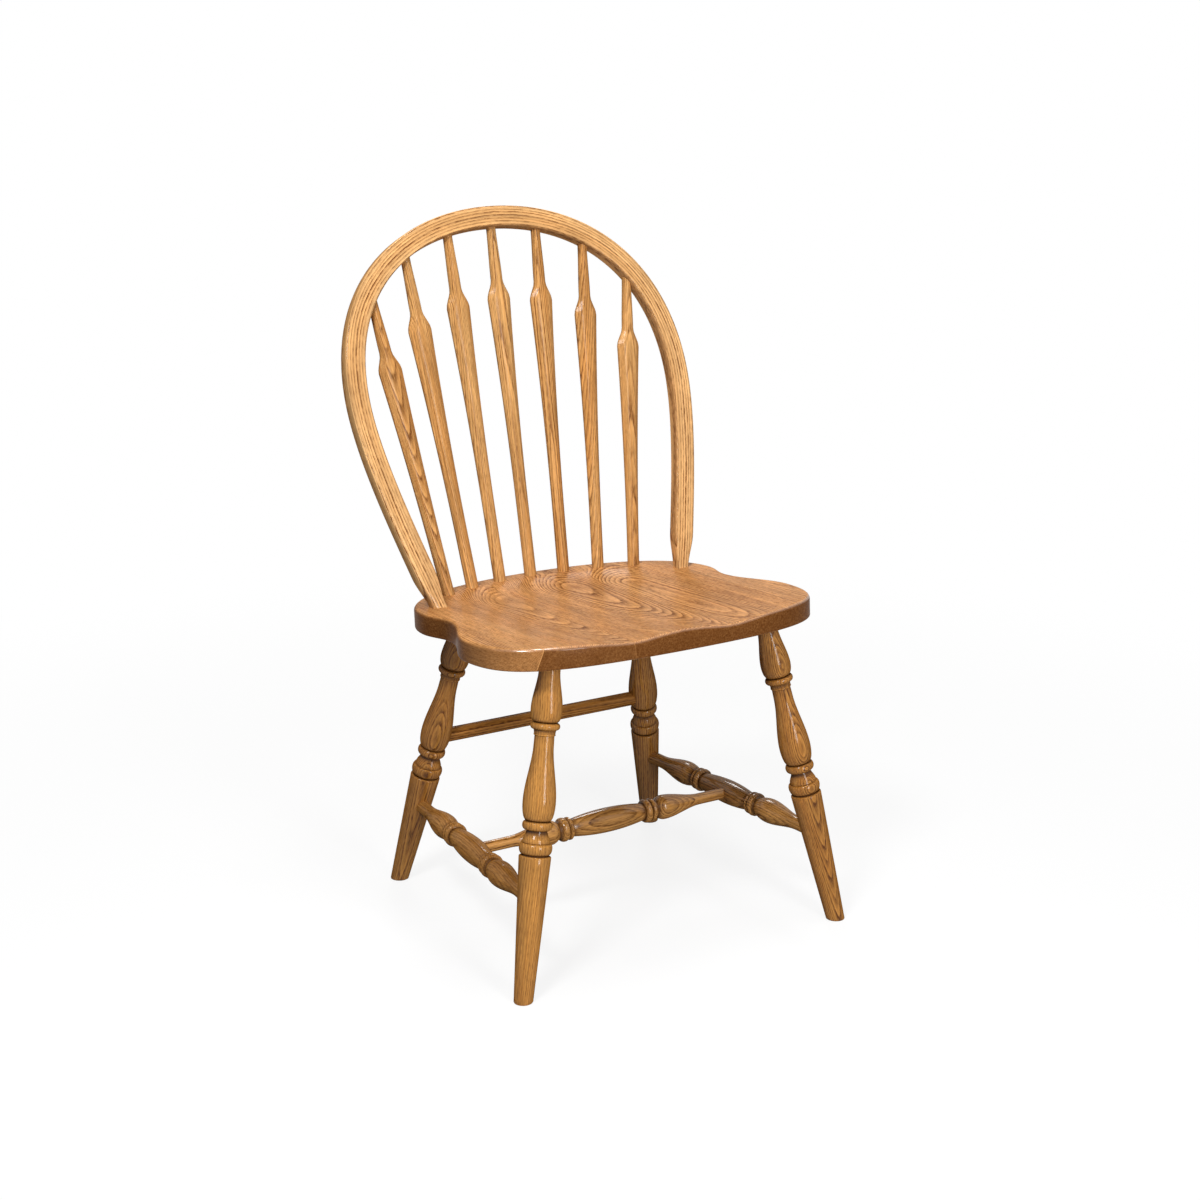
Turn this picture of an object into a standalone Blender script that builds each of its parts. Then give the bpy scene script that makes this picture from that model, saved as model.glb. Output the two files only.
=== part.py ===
"""Bow back side chair with a scooped plank seat, arrow spindles, and turned legs and stretchers.

Metres, +Z up. The chair faces -Y and stands on z = 0. Left is -X, as seen from the front.
The origin is on the floor, under the middle of the chair's outer box.
"""

import math

import bmesh
import bpy
from mathutils import Matrix, Vector
from mathutils.geometry import interpolate_bezier

# Fits
FIT = 0.0003
MERGE = 0.00005
SOCKET_FLOOR = 0.004
SOCKET_REACH = 0.040
AXIS_STOP = 0.004

# Seat plank: the top face is a plane with its front edge raised
SEAT_HEIGHT = 0.4514
SEAT_PITCH = math.radians(4.16)
SEAT_THICKNESS = 0.0302
SEAT_EDGE_ROUND = 0.0025

# Seat outline, right half, from the front round to the rear
SEAT_FRONT_Y = -0.264
SEAT_FRONT_HANDLE = 0.206
SEAT_CORNER_X = 0.2595
SEAT_CORNER_Y = -0.135
SEAT_CORNER_FRONT_HANDLE = 0.097
SEAT_CORNER_REAR_HANDLE = 0.045
SEAT_WAIST_X = 0.2265
SEAT_WAIST_Y = -0.020
SEAT_WAIST_FRONT_HANDLE = 0.045
SEAT_WAIST_REAR_HANDLE = 0.018
SEAT_EAR_X = 0.2375
SEAT_EAR_Y = 0.035
SEAT_EAR_FRONT_HANDLE = 0.018
SEAT_EAR_REAR_HANDLE = 0.085
SEAT_REAR_Y = 0.179
SEAT_REAR_HANDLE = 0.150
SEAT_INNER_SEAM_X = 0.078
SEAT_OUTER_SEAM_X = 0.198

# Saddle scooped out of the plank
SADDLE_DEPTH = 0.011
SADDLE_HALF_WIDTH = 0.205
SADDLE_SIDE_BLEND = 0.100
SADDLE_REAR_BLEND = 0.070
SADDLE_MIDDLE_Y = -0.050
SADDLE_HOLLOW_X = 0.078
SADDLE_HOLLOW_SPREAD = 0.045
SADDLE_HOLLOW_DEPTH = 0.006
DECK_MARGIN = 0.012

# Bow, bent in one plane that leans back
BOW_SEAT_Y = 0.060
BOW_RAKE = math.radians(22.7)
BOW_WIDTH = 0.030
BOW_DEPTH = 0.021
BOW_CORNER = 0.0045
BOW_TENON_DIAMETER = 0.0205
BOW_COLLAR = 0.008
BOW_ROUNDING = 0.045
BOW_FOOT_X = 0.200
BOW_FOOT_SPREAD = 0.27
BOW_FOOT_HANDLE = 0.110
BOW_WIDEST_X = 0.2605
BOW_WIDEST_RUN = 0.298
BOW_WIDEST_LOW_HANDLE = 0.081
BOW_WIDEST_HIGH_HANDLE = 0.162
BOW_TOP_RUN = 0.545
BOW_TOP_HANDLE = 0.144

# Arrow spindles, fanned between an arc on the seat and steps along the bow that widen outwards
SPINDLE_SIDE_COUNT = 3
SPINDLE_ARC_REAR_Y = 0.1575
SPINDLE_ARC_RADIUS = 0.330
SPINDLE_ARC_STEP = math.radians(9.3)
SPINDLE_BOW_STEP = 0.0731
SPINDLE_BOW_STEP_GAIN = 0.0059
SPINDLE_NECK_DIAMETER = 0.0138
SPINDLE_THROAT_WIDTH = 0.0180
SPINDLE_SHOULDER_WIDTH = 0.0352
SPINDLE_SHAFT_WIDTH = 0.0185
SPINDLE_NECK_LENGTH = 0.018
SPINDLE_THROAT_LENGTH = 0.072
SPINDLE_FLARE_LENGTH = 0.028
SPINDLE_TAPER_LENGTH = 0.320
SPINDLE_THICKNESS = 0.0145
SPINDLE_TENON_DIAMETER = 0.0125

# Legs: places where each axis meets the floor and the underside of the seat
FRONT_FOOT_X = 0.2536
FRONT_FOOT_Y = -0.2732
FRONT_TOP_X = 0.170
FRONT_TOP_Y = -0.203
REAR_FOOT_X = 0.219
REAR_FOOT_Y = 0.1715
REAR_TOP_X = 0.1435
REAR_TOP_Y = 0.0895

# Leg turning, from the seat downwards
LEG_TENON_DIAMETER = 0.0284
LEG_NECK_LENGTH = 0.010
LEG_SWELL_LENGTH = 0.053
LEG_SWELL_DIAMETER = 0.0418
LEG_SWELL_SHOULDER = 0.016
LEG_GROOVE_DIAMETER = 0.0308
LEG_RING_LENGTH = 0.014
LEG_RING_DIAMETER = 0.0386
LEG_COVE_LENGTH = 0.011
LEG_WAIST_LENGTH = 0.005
LEG_WAIST_DIAMETER = 0.0272
LEG_VASE_LENGTH = 0.080
LEG_VASE_DIAMETER = 0.0440
LEG_VASE_SHOULDER = 0.020
LEG_LOW_GROOVE_DIAMETER = 0.0330
LEG_LOW_RING_LENGTH = 0.013
LEG_LOW_RING_DIAMETER = 0.0392
LEG_HOLLOW_LENGTH = 0.013
LEG_HOLLOW_DIAMETER = 0.0306
LEG_BULB_LENGTH = 0.019
LEG_BULB_DIAMETER = 0.0440
LEG_QUIRK_LENGTH = 0.003
LEG_QUIRK_DIAMETER = 0.0392
LEG_TAPER_DIAMETER = 0.0430
LEG_FOOT_DIAMETER = 0.0258
LEG_SPARE = 0.020

# Stretchers: heights where their axes meet the leg axes, and where the centre one crosses
SIDE_STRETCHER_FRONT_Z = 0.131
SIDE_STRETCHER_REAR_Z = 0.123
SIDE_STRETCHER_SHIFT = 0.006
CENTRE_STRETCHER_Y = -0.061
CENTRE_STRETCHER_RISE = 0.0016
CENTRE_STRETCHER_SLIMMER = 0.0028
REAR_STRETCHER_Z = 0.2285
REAR_STRETCHER_DIAMETER = 0.0210

# Stretcher turning, from its middle outwards
STRETCHER_BARREL_LENGTH = 0.052
STRETCHER_BARREL_DIAMETER = 0.0358
STRETCHER_NECK_DIAMETER = 0.0280
STRETCHER_RING_LENGTH = 0.026
STRETCHER_RING_DIAMETER = 0.0344
STRETCHER_SHOULDER_LENGTH = 0.021
STRETCHER_VASE_DIAMETER = 0.0356
STRETCHER_TAPER_LENGTH = 0.062
STRETCHER_END_DIAMETER = 0.0193

# Facets
ROUND_SIDES = 14
SLENDER_SIDES = 12
OUTLINE_STEPS = 12
BOW_LOW_STEPS = 9
BOW_HIGH_STEPS = 12
SADDLE_ACROSS = 20
SADDLE_ALONG = 14
BLOCK_REACH = 0.300

# Sizes that follow from those above
LEG_TENON_LENGTH = SEAT_THICKNESS - SADDLE_DEPTH - SOCKET_FLOOR
DECK_TENON_LENGTH = SEAT_THICKNESS - 2 * SOCKET_FLOOR
SEAT_FRAME = Matrix.Translation((0, 0, SEAT_HEIGHT)) @ Matrix.Rotation(-SEAT_PITCH, 4, "X")


def ease(share):
    """Smooth step from 0 to 1, held level outside that range."""
    held = min(max(share, 0.0), 1.0)
    return held * held * (3.0 - 2.0 * held)


def blend(low, high, share):
    """Value at a share of the way from low to high."""
    return low + (high - low) * share


def seat_point(x, y, drop=0.0):
    """World point on the seat's top plane, or on the plane a given thickness below it."""
    lowered = SEAT_HEIGHT - drop / math.cos(SEAT_PITCH)
    return Vector((x, y, lowered - y * math.tan(SEAT_PITCH)))


def aligned(point, axis):
    """Placement with local Z along an axis and local X as near to world X as it can be.

    Where the axis itself runs along X, world Y is the guide instead.
    """
    up = axis.normalized()
    guide = Vector((0, 1, 0)) if abs(up.x) > abs(up.z) + abs(up.y) else Vector((1, 0, 0))
    across = (guide - up * up.dot(guide)).normalized()
    turn = Matrix((across, up.cross(across), up)).transposed()
    return Matrix.Translation(point) @ turn.to_4x4()


def socket_radius(diameter):
    """Radius of a faceted socket whose flats clear a round tenon by the fit."""
    return (diameter / 2 + FIT) / math.cos(math.pi / ROUND_SIDES)


# Scene helpers

def material(name, colour, roughness):
    """Principled material of plain colour."""
    made = bpy.data.materials.new(name)
    made.use_nodes = True
    shader = made.node_tree.nodes["Principled BSDF"]
    shader.inputs["Base Color"].default_value = (*colour, 1.0)
    shader.inputs["Roughness"].default_value = roughness
    shader.inputs["Metallic"].default_value = 0.0
    return made


def add_part(name, mesh, finish, placement):
    """Piece of the chair, with its material, under the chair's empty."""
    part = bpy.data.objects.new(name, mesh)
    if not mesh.materials:
        mesh.materials.append(finish)
    parts.objects.link(part)
    part.parent = chair
    part.matrix_world = placement
    return part


def add_cutter(name, mesh, placement=Matrix()):
    """Shape that only cuts, trims or joins, drawn as wire and never rendered."""
    cutter = bpy.data.objects.new(name, mesh)
    cutters.objects.link(cutter)
    cutter.matrix_world = placement
    cutter.hide_render = True
    cutter.display_type = "WIRE"
    return cutter


def combine(part, operation, other):
    """Boolean of a piece with a cutter."""
    step = part.modifiers.new(other.name, "BOOLEAN")
    step.operation = operation
    step.solver = "EXACT"
    step.object = other


def mesh_from(bm, name):
    """Mesh data from a bmesh, with its normals made consistent and round faces smooth."""
    bmesh.ops.recalc_face_normals(bm, faces=bm.faces)
    mesh = bpy.data.meshes.new(name)
    bm.to_mesh(mesh)
    bm.free()
    mesh.shade_smooth()
    mesh.set_sharp_from_angle(angle=math.radians(35))
    return mesh


def block(name, low, high, placement=Matrix()):
    """Box cutter between two corners."""
    bm = bmesh.new()
    middle = (Vector(low) + Vector(high)) / 2
    size = Vector(high) - Vector(low)
    shape = Matrix.Translation(middle) @ Matrix.Diagonal((*size, 1.0))
    bmesh.ops.create_cube(bm, size=1.0, matrix=shape)
    return add_cutter(name, mesh_from(bm, name), placement)


def rods(name, spans):
    """Cutter of separate round rods, each given as start, end and radius."""
    bm = bmesh.new()
    for start, end, radius in spans:
        axis = end - start
        bmesh.ops.create_cone(bm, cap_ends=True, segments=ROUND_SIDES, radius1=radius, radius2=radius,
                              depth=axis.length, matrix=aligned((start + end) / 2, axis))
    return add_cutter(name, mesh_from(bm, name))


def turned(name, profile, sides, finish, placement):
    """Piece turned about its local Z axis from (height, diameter) stations, top to bottom."""
    ends = (profile[0][0], 0.0), (profile[-1][0], 0.0)
    stations = [ends[0], *profile, ends[1]]
    mesh = bpy.data.meshes.new(name)
    corners = [(diameter / 2, 0.0, height) for height, diameter in stations]
    mesh.from_pydata(corners, [(i, i + 1) for i in range(len(corners) - 1)], [])
    part = add_part(name, mesh, finish, placement)
    screw = part.modifiers.new("turning", "SCREW")
    screw.axis = "Z"
    screw.steps = sides
    screw.render_steps = sides
    screw.use_merge_vertices = True
    screw.merge_threshold = MERGE
    screw.use_smooth_shade = True
    return part


def lofted(name, sections, finish, placement):
    """Piece lofted through rounded sections, each a ring of twelve corners.

    A section is its centre, its directions of width and depth, its half width, half depth and corner radius.
    """
    bm = bmesh.new()
    rings = []
    for centre, across, back, width, depth, corner in sections:
        ring = []
        for i in range(SLENDER_SIDES):
            angle = 2 * math.pi * (i + 0.5) / SLENDER_SIDES
            out = math.copysign(width - corner, math.cos(angle)) + corner * math.cos(angle)
            deep = math.copysign(depth - corner, math.sin(angle)) + corner * math.sin(angle)
            ring.append(bm.verts.new(centre + across * out + back * deep))
        rings.append(ring)
    for before, after in zip(rings, rings[1:]):
        for i in range(SLENDER_SIDES):
            j = (i + 1) % SLENDER_SIDES
            bm.faces.new((before[i], before[j], after[j], after[i]))
    bm.faces.new(rings[0])
    bm.faces.new(rings[-1])
    return add_part(name, mesh_from(bm, name), finish, placement)


# Lathe cuts: each adds stations below the last one of a profile

def cut_straight(profile, length, diameter):
    """Cone or cylinder down to a diameter."""
    profile.append((profile[-1][0] - length, diameter))


def cut_step(profile, diameter):
    """Square step to another diameter."""
    profile.append((profile[-1][0] - MERGE * 4, diameter))


def cut_swell(profile, length, diameter, steps):
    """S curve to a diameter, level at both ends."""
    height, start = profile[-1]
    for i in range(1, steps + 1):
        profile.append((height - length * i / steps, blend(start, diameter, ease(i / steps))))


def cut_shoulder(profile, length, diameter, steps):
    """Quarter ellipse that rounds over into a narrower groove."""
    height, start = profile[-1]
    for i in range(1, steps + 1):
        angle = math.pi / 2 * i / steps
        profile.append((height - length * math.sin(angle), blend(diameter, start, math.cos(angle))))


def cut_rise(profile, length, diameter, steps):
    """Quarter ellipse that rises steeply out of a groove and ends level."""
    height, start = profile[-1]
    for i in range(1, steps + 1):
        angle = math.pi / 2 * i / steps
        drop = length * (1.0 - math.cos(angle))
        profile.append((height - drop, blend(start, diameter, math.sin(angle))))


def cut_bead(profile, length, diameter, steps):
    """Half ellipse that stands out from the last diameter, or is sunk into it."""
    height, base = profile[-1]
    for i in range(1, steps + 1):
        angle = math.pi * i / steps
        drop = length / 2 * (1.0 - math.cos(angle))
        profile.append((height - drop, blend(base, diameter, math.sin(angle))))


def cut_sweep(profile, length, diameter, steps):
    """Taper that is quick at first and dies away to a diameter."""
    height, start = profile[-1]
    for i in range(1, steps + 1):
        left = 1.0 - i / steps
        profile.append((height - length * i / steps, blend(diameter, start, left * left)))


# Seat

def seat_outline():
    """Closed plank outline as a filled 2D curve of the seat's thickness."""
    right = [
        (SEAT_CORNER_X, SEAT_CORNER_Y, SEAT_CORNER_FRONT_HANDLE, SEAT_CORNER_REAR_HANDLE),
        (SEAT_WAIST_X, SEAT_WAIST_Y, SEAT_WAIST_FRONT_HANDLE, SEAT_WAIST_REAR_HANDLE),
        (SEAT_EAR_X, SEAT_EAR_Y, SEAT_EAR_FRONT_HANDLE, SEAT_EAR_REAR_HANDLE),
    ]
    knots = [(Vector((0, SEAT_FRONT_Y, 0)), Vector((-SEAT_FRONT_HANDLE, 0, 0)),
              Vector((SEAT_FRONT_HANDLE, 0, 0)))]
    for x, y, before, after in right:
        knots.append((Vector((x, y, 0)), Vector((0, -before, 0)), Vector((0, after, 0))))
    knots.append((Vector((0, SEAT_REAR_Y, 0)), Vector((SEAT_REAR_HANDLE, 0, 0)),
                  Vector((-SEAT_REAR_HANDLE, 0, 0))))
    for x, y, before, after in reversed(right):
        knots.append((Vector((-x, y, 0)), Vector((0, after, 0)), Vector((0, -before, 0))))
    curve = bpy.data.curves.new("seat_outline", "CURVE")
    curve.dimensions = "2D"
    curve.fill_mode = "BOTH"
    curve.extrude = SEAT_THICKNESS / 2
    curve.resolution_u = OUTLINE_STEPS
    spline = curve.splines.new("BEZIER")
    spline.bezier_points.add(len(knots) - 1)
    spline.use_cyclic_u = True
    for point, (place, before, after) in zip(spline.bezier_points, knots):
        point.co = place
        point.handle_left = place + before
        point.handle_right = place + after
    outline = bpy.data.objects.new("seat_outline", curve)
    cutters.objects.link(outline)
    outline.matrix_world = SEAT_FRAME @ Matrix.Translation((0, 0, -SEAT_THICKNESS / 2))
    return outline


def plank_mesh(outline):
    """Closed plank mesh and its placement from the outline curve, which is then removed."""
    bpy.context.view_layer.update()
    seen = outline.evaluated_get(bpy.context.evaluated_depsgraph_get())
    mesh = bpy.data.meshes.new_from_object(seen)
    placement = outline.matrix_world.copy()
    bm = bmesh.new()
    bm.from_mesh(mesh)
    bmesh.ops.remove_doubles(bm, verts=bm.verts, dist=MERGE)
    bpy.data.meshes.remove(mesh)
    bpy.data.objects.remove(outline)
    return mesh_from(bm, "seat_plank"), placement


def spindle_arc_y(x):
    """Place of the row of spindles on the seat, at a distance from the centre line."""
    return SPINDLE_ARC_REAR_Y - SPINDLE_ARC_RADIUS + math.sqrt(max(SPINDLE_ARC_RADIUS ** 2 - x * x, 0.0))


def saddle_depth(x, y, rear):
    """Depth of the scoop: two hollows that run out through the front edge, and a ridge between."""
    side = ease((SADDLE_HALF_WIDTH - abs(x)) / SADDLE_SIDE_BLEND)
    near = min(max((rear - y) / SADDLE_REAR_BLEND, 0.0), 1.0)
    hollow = math.exp(-((abs(x) - SADDLE_HOLLOW_X) / SADDLE_HOLLOW_SPREAD) ** 2)
    forward = min(max((SADDLE_MIDDLE_Y - y) / (SADDLE_MIDDLE_Y - SEAT_FRONT_Y), 0.0), 1.0)
    deepest = blend(SADDLE_DEPTH * side, SADDLE_HOLLOW_DEPTH * hollow, forward * forward)
    return deepest * (1.0 - (1.0 - near) ** 2)


def saddle_cutter():
    """Solid that scoops the seat, up to a crisp line in front of the spindles."""
    front = SEAT_FRONT_Y - SEAT_THICKNESS
    bm = bmesh.new()
    bmesh.ops.create_grid(bm, x_segments=SADDLE_ACROSS, y_segments=SADDLE_ALONG, size=0.5)
    for vert in bm.verts:
        x = 2.0 * vert.co.x * SADDLE_HALF_WIDTH
        rear = spindle_arc_y(x) - DECK_MARGIN
        y = blend(front, rear, vert.co.y + 0.5)
        vert.co = (x, y, FIT - saddle_depth(x, y, rear))
    cutter = add_cutter("saddle", mesh_from(bm, "saddle"), SEAT_FRAME)
    shell = cutter.modifiers.new("solid", "SOLIDIFY")
    shell.thickness = SEAT_THICKNESS
    shell.offset = 1.0
    return cutter


def build_seat(sockets):
    """Five edge-glued boards cut from one shaped plank."""
    plank, placement = plank_mesh(seat_outline())
    scoop = saddle_cutter()
    holes = rods("seat_sockets", sockets)
    seams = [-BLOCK_REACH, -SEAT_OUTER_SEAM_X, -SEAT_INNER_SEAM_X,
             SEAT_INNER_SEAM_X, SEAT_OUTER_SEAM_X, BLOCK_REACH]
    for number, (left, right) in enumerate(zip(seams, seams[1:]), 1):
        name = f"seat_board_{number}"
        board = add_part(name, plank, SEAT_FINISH, placement)
        edge = board.modifiers.new("edge", "BEVEL")
        edge.width = SEAT_EDGE_ROUND
        edge.segments = 2
        edge.limit_method = "ANGLE"
        edge.angle_limit = math.radians(60)
        low = (left + FIT / 2, -BLOCK_REACH, -BLOCK_REACH)
        high = (right - FIT / 2, BLOCK_REACH, BLOCK_REACH)
        strip = block(name + "_strip", low, high, SEAT_FRAME)
        combine(board, "DIFFERENCE", scoop)
        combine(board, "DIFFERENCE", holes)
        combine(board, "INTERSECT", strip)


# Bow

def bow_half():
    """Right half of the bow's centre line in its own plane, as points from the seat to the top."""
    foot = Vector((BOW_FOOT_X, 0, 0))
    rise = Vector((BOW_FOOT_SPREAD, 0, 1)).normalized()
    widest = Vector((BOW_WIDEST_X, 0, BOW_WIDEST_RUN))
    top = Vector((0, 0, BOW_TOP_RUN))
    low = interpolate_bezier(foot, foot + rise * BOW_FOOT_HANDLE,
                             widest - Vector((0, 0, BOW_WIDEST_LOW_HANDLE)), widest, BOW_LOW_STEPS + 1)
    high = interpolate_bezier(widest, widest + Vector((0, 0, BOW_WIDEST_HIGH_HANDLE)),
                              top + Vector((BOW_TOP_HANDLE, 0, 0)), top, BOW_HIGH_STEPS + 1)
    return low + high[1:], rise


def mirrored(point):
    """Point on the other side of the chair."""
    return Vector((-point.x, point.y, point.z))


def bow_section(centre, tangent, run):
    """Section of the bow at a run above the seat: round there, and a rounded rectangle higher up."""
    share = ease((run - BOW_COLLAR) / BOW_ROUNDING)
    radius = BOW_TENON_DIAMETER / 2
    width = blend(radius, BOW_WIDTH / 2, share)
    depth = blend(radius, BOW_DEPTH / 2, share)
    across = Vector((tangent.z, 0, -tangent.x))
    return centre, across, Vector((0, 1, 0)), width, depth, blend(radius, BOW_CORNER, share)


def bow_stations():
    """Centre, tangent and run above the seat for each section, from the left end to the right end."""
    half, rise = bow_half()
    runs = [0.0]
    for before, after in zip(half, half[1:]):
        runs.append(runs[-1] + (after - before).length)
    right = [(half[0] + rise * run, rise, run) for run in (-DECK_TENON_LENGTH, BOW_COLLAR)]
    for i in range(1, len(half) - 1):
        right.append((half[i], (half[i + 1] - half[i - 1]).normalized(), runs[i]))
    stations = [(mirrored(point), mirrored(tangent), run) for point, tangent, run in right]
    stations.append((half[-1], Vector((1, 0, 0)), runs[-1]))
    for point, tangent, run in reversed(right):
        stations.append((point, -tangent, run))
    return stations


def build_bow(placement, sockets):
    """Bent bow with a socket for each spindle."""
    sections = [bow_section(*station) for station in bow_stations()]
    bow = lofted("bow", sections, BOW_FINISH, placement)
    combine(bow, "DIFFERENCE", rods("bow_sockets", sockets))


def along_bow(distance):
    """Point on the right half of the bow at a distance from its top, measured along it."""
    half = bow_half()[0]
    left = distance
    for here, after in zip(reversed(half), reversed(half[:-1])):
        step = (after - here).length
        if left <= step:
            return here.lerp(after, left / step)
        left -= step
    return half[0]


# Spindles

def spindle_profile(length):
    """Height and width of an arrow spindle below the middle of the bow, with spare below the seat."""
    profile = [(AXIS_STOP, SPINDLE_NECK_DIAMETER)]
    cut_straight(profile, AXIS_STOP + SPINDLE_NECK_LENGTH, SPINDLE_NECK_DIAMETER)
    cut_swell(profile, SPINDLE_THROAT_LENGTH, SPINDLE_THROAT_WIDTH, 2)
    cut_swell(profile, SPINDLE_FLARE_LENGTH, SPINDLE_SHOULDER_WIDTH, 5)
    cut_sweep(profile, SPINDLE_TAPER_LENGTH, SPINDLE_SHAFT_WIDTH, 5)
    profile.append((-length - SEAT_THICKNESS, SPINDLE_SHAFT_WIDTH))
    return profile


def spindle_run(number):
    """Distance along the bow from its top to a spindle, counted outwards from the middle one."""
    return number * SPINDLE_BOW_STEP + number * (number - 1) / 2 * SPINDLE_BOW_STEP_GAIN


def build_spindle(name, base, top, deck):
    """One spindle, round at the bow and flat front and back below, cut to the deck and tenoned into it.

    Returns the spans of its sockets in the seat and in the bow.
    """
    axis = (top - base).normalized()
    sections = []
    for height, width in spindle_profile((top - base).length):
        depth = min(width, SPINDLE_THICKNESS) / 2
        centre = Vector((0, 0, height))
        sections.append((centre, Vector((1, 0, 0)), Vector((0, 1, 0)), width / 2, depth, depth))
    spindle = lofted(name, sections, SPINDLE_FINISH, aligned(top, axis))
    tenon_end = base - axis * DECK_TENON_LENGTH
    tenon = rods(name + "_tenon", [(tenon_end, base + axis * SOCKET_REACH, SPINDLE_TENON_DIAMETER / 2)])
    combine(spindle, "DIFFERENCE", deck)
    combine(spindle, "UNION", tenon)
    in_seat = (tenon_end - axis * FIT, base + axis * SOCKET_REACH, socket_radius(SPINDLE_TENON_DIAMETER))
    in_bow = (top - axis * SOCKET_REACH, top + axis * (AXIS_STOP + FIT), socket_radius(SPINDLE_NECK_DIAMETER))
    return in_seat, in_bow


def build_back():
    """Bow and its spindles. Returns the spans of the sockets that they need in the seat."""
    placement = Matrix.Translation(seat_point(0, BOW_SEAT_Y)) @ Matrix.Rotation(-BOW_RAKE, 4, "X")
    below = SEAT_THICKNESS + BLOCK_REACH
    deck = block("deck", (-BLOCK_REACH, -BLOCK_REACH, -below), (BLOCK_REACH, BLOCK_REACH, FIT), SEAT_FRAME)
    in_seat = []
    in_bow = []
    for place in range(-SPINDLE_SIDE_COUNT, SPINDLE_SIDE_COUNT + 1):
        x = SPINDLE_ARC_RADIUS * math.sin(place * SPINDLE_ARC_STEP)
        base = seat_point(x, spindle_arc_y(x))
        on_bow = along_bow(spindle_run(abs(place)))
        top = placement @ (on_bow if place > 0 else mirrored(on_bow))
        name = f"spindle_{place + SPINDLE_SIDE_COUNT + 1}"
        low, high = build_spindle(name, base, top, deck)
        in_seat.append(low)
        in_bow.append(high)
    build_bow(placement, in_bow)
    half, rise = bow_half()
    for turn in (Vector.copy, mirrored):
        low = placement @ turn(half[0] - rise * (DECK_TENON_LENGTH + FIT))
        high = placement @ turn(half[0] + rise * SOCKET_REACH)
        in_seat.append((low, high, socket_radius(BOW_TENON_DIAMETER)))
    return in_seat


# Legs and stretchers

def leg_profile(length):
    """Stations of a leg below the underside of the seat, with its tenon above and spare below."""
    profile = [(LEG_TENON_LENGTH, LEG_TENON_DIAMETER)]
    cut_straight(profile, LEG_TENON_LENGTH + LEG_NECK_LENGTH, LEG_TENON_DIAMETER)
    cut_swell(profile, LEG_SWELL_LENGTH, LEG_SWELL_DIAMETER, 4)
    cut_shoulder(profile, LEG_SWELL_SHOULDER, LEG_GROOVE_DIAMETER, 3)
    cut_bead(profile, LEG_RING_LENGTH, LEG_RING_DIAMETER, 4)
    cut_sweep(profile, LEG_COVE_LENGTH, LEG_WAIST_DIAMETER, 2)
    cut_straight(profile, LEG_WAIST_LENGTH, LEG_WAIST_DIAMETER)
    cut_swell(profile, LEG_VASE_LENGTH, LEG_VASE_DIAMETER, 5)
    cut_shoulder(profile, LEG_VASE_SHOULDER, LEG_LOW_GROOVE_DIAMETER, 3)
    cut_bead(profile, LEG_LOW_RING_LENGTH, LEG_LOW_RING_DIAMETER, 4)
    cut_bead(profile, LEG_HOLLOW_LENGTH, LEG_HOLLOW_DIAMETER, 3)
    cut_bead(profile, LEG_BULB_LENGTH, LEG_BULB_DIAMETER, 4)
    cut_step(profile, LEG_QUIRK_DIAMETER)
    cut_straight(profile, LEG_QUIRK_LENGTH, LEG_QUIRK_DIAMETER)
    cut_step(profile, LEG_TAPER_DIAMETER)
    left = length + profile[-1][0]
    spread = (left + LEG_SPARE) / left
    cut_straight(profile, left + LEG_SPARE, blend(LEG_TAPER_DIAMETER, LEG_FOOT_DIAMETER, spread))
    return profile


def build_leg(name, foot, top, floor, joints):
    """One leg, cut level at the floor, with a socket towards each joint it holds.

    Each joint is a point on the leg's axis, the direction to the stretcher and its diameter.
    """
    axis = top - foot
    leg = turned(name, leg_profile(axis.length), ROUND_SIDES, LEG_FINISH, aligned(top, axis))
    combine(leg, "DIFFERENCE", floor)
    spans = [socket_span(point, towards, diameter) for point, towards, diameter in joints]
    combine(leg, "DIFFERENCE", rods(name + "_sockets", spans))
    up = axis.normalized()
    tip = top + up * (LEG_TENON_LENGTH + FIT)
    return top - up * SOCKET_REACH, tip, socket_radius(LEG_TENON_DIAMETER)


def socket_span(point, towards, diameter):
    """Span of a socket that a stretcher enters along a direction, short of the axis it meets."""
    return point + towards * (AXIS_STOP - FIT), point + towards * SOCKET_REACH, socket_radius(diameter)


def half_turning(reach, slimmer):
    """Stations of half a turned stretcher, from its middle down to a plain end."""
    profile = [(0.0, STRETCHER_BARREL_DIAMETER)]
    cut_shoulder(profile, STRETCHER_BARREL_LENGTH, STRETCHER_NECK_DIAMETER, 3)
    cut_bead(profile, STRETCHER_RING_LENGTH, STRETCHER_RING_DIAMETER, 4)
    cut_rise(profile, STRETCHER_SHOULDER_LENGTH, STRETCHER_VASE_DIAMETER, 3)
    cut_swell(profile, STRETCHER_TAPER_LENGTH, STRETCHER_END_DIAMETER, 4)
    profile.append((-reach, STRETCHER_END_DIAMETER))
    return [(height, diameter - slimmer) for height, diameter in profile]


def build_stretcher(name, start, end, shift=0.0, slimmer=0.0):
    """Turned stretcher between two axes, with its turning moved from the middle towards the start."""
    axis = (end - start).normalized()
    reach = (end - start).length / 2 - AXIS_STOP
    upper = [(-height, diameter) for height, diameter in half_turning(reach - shift, slimmer)]
    profile = upper[:0:-1] + half_turning(reach + shift, slimmer)
    middle = (start + end) / 2 - axis * shift
    return turned(name, profile, ROUND_SIDES, STRETCHER_FINISH, aligned(middle, -axis))


def on_axis(low, high, height):
    """Point at a height on the line through two points."""
    return low.lerp(high, (height - low.z) / (high.z - low.z))


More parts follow.
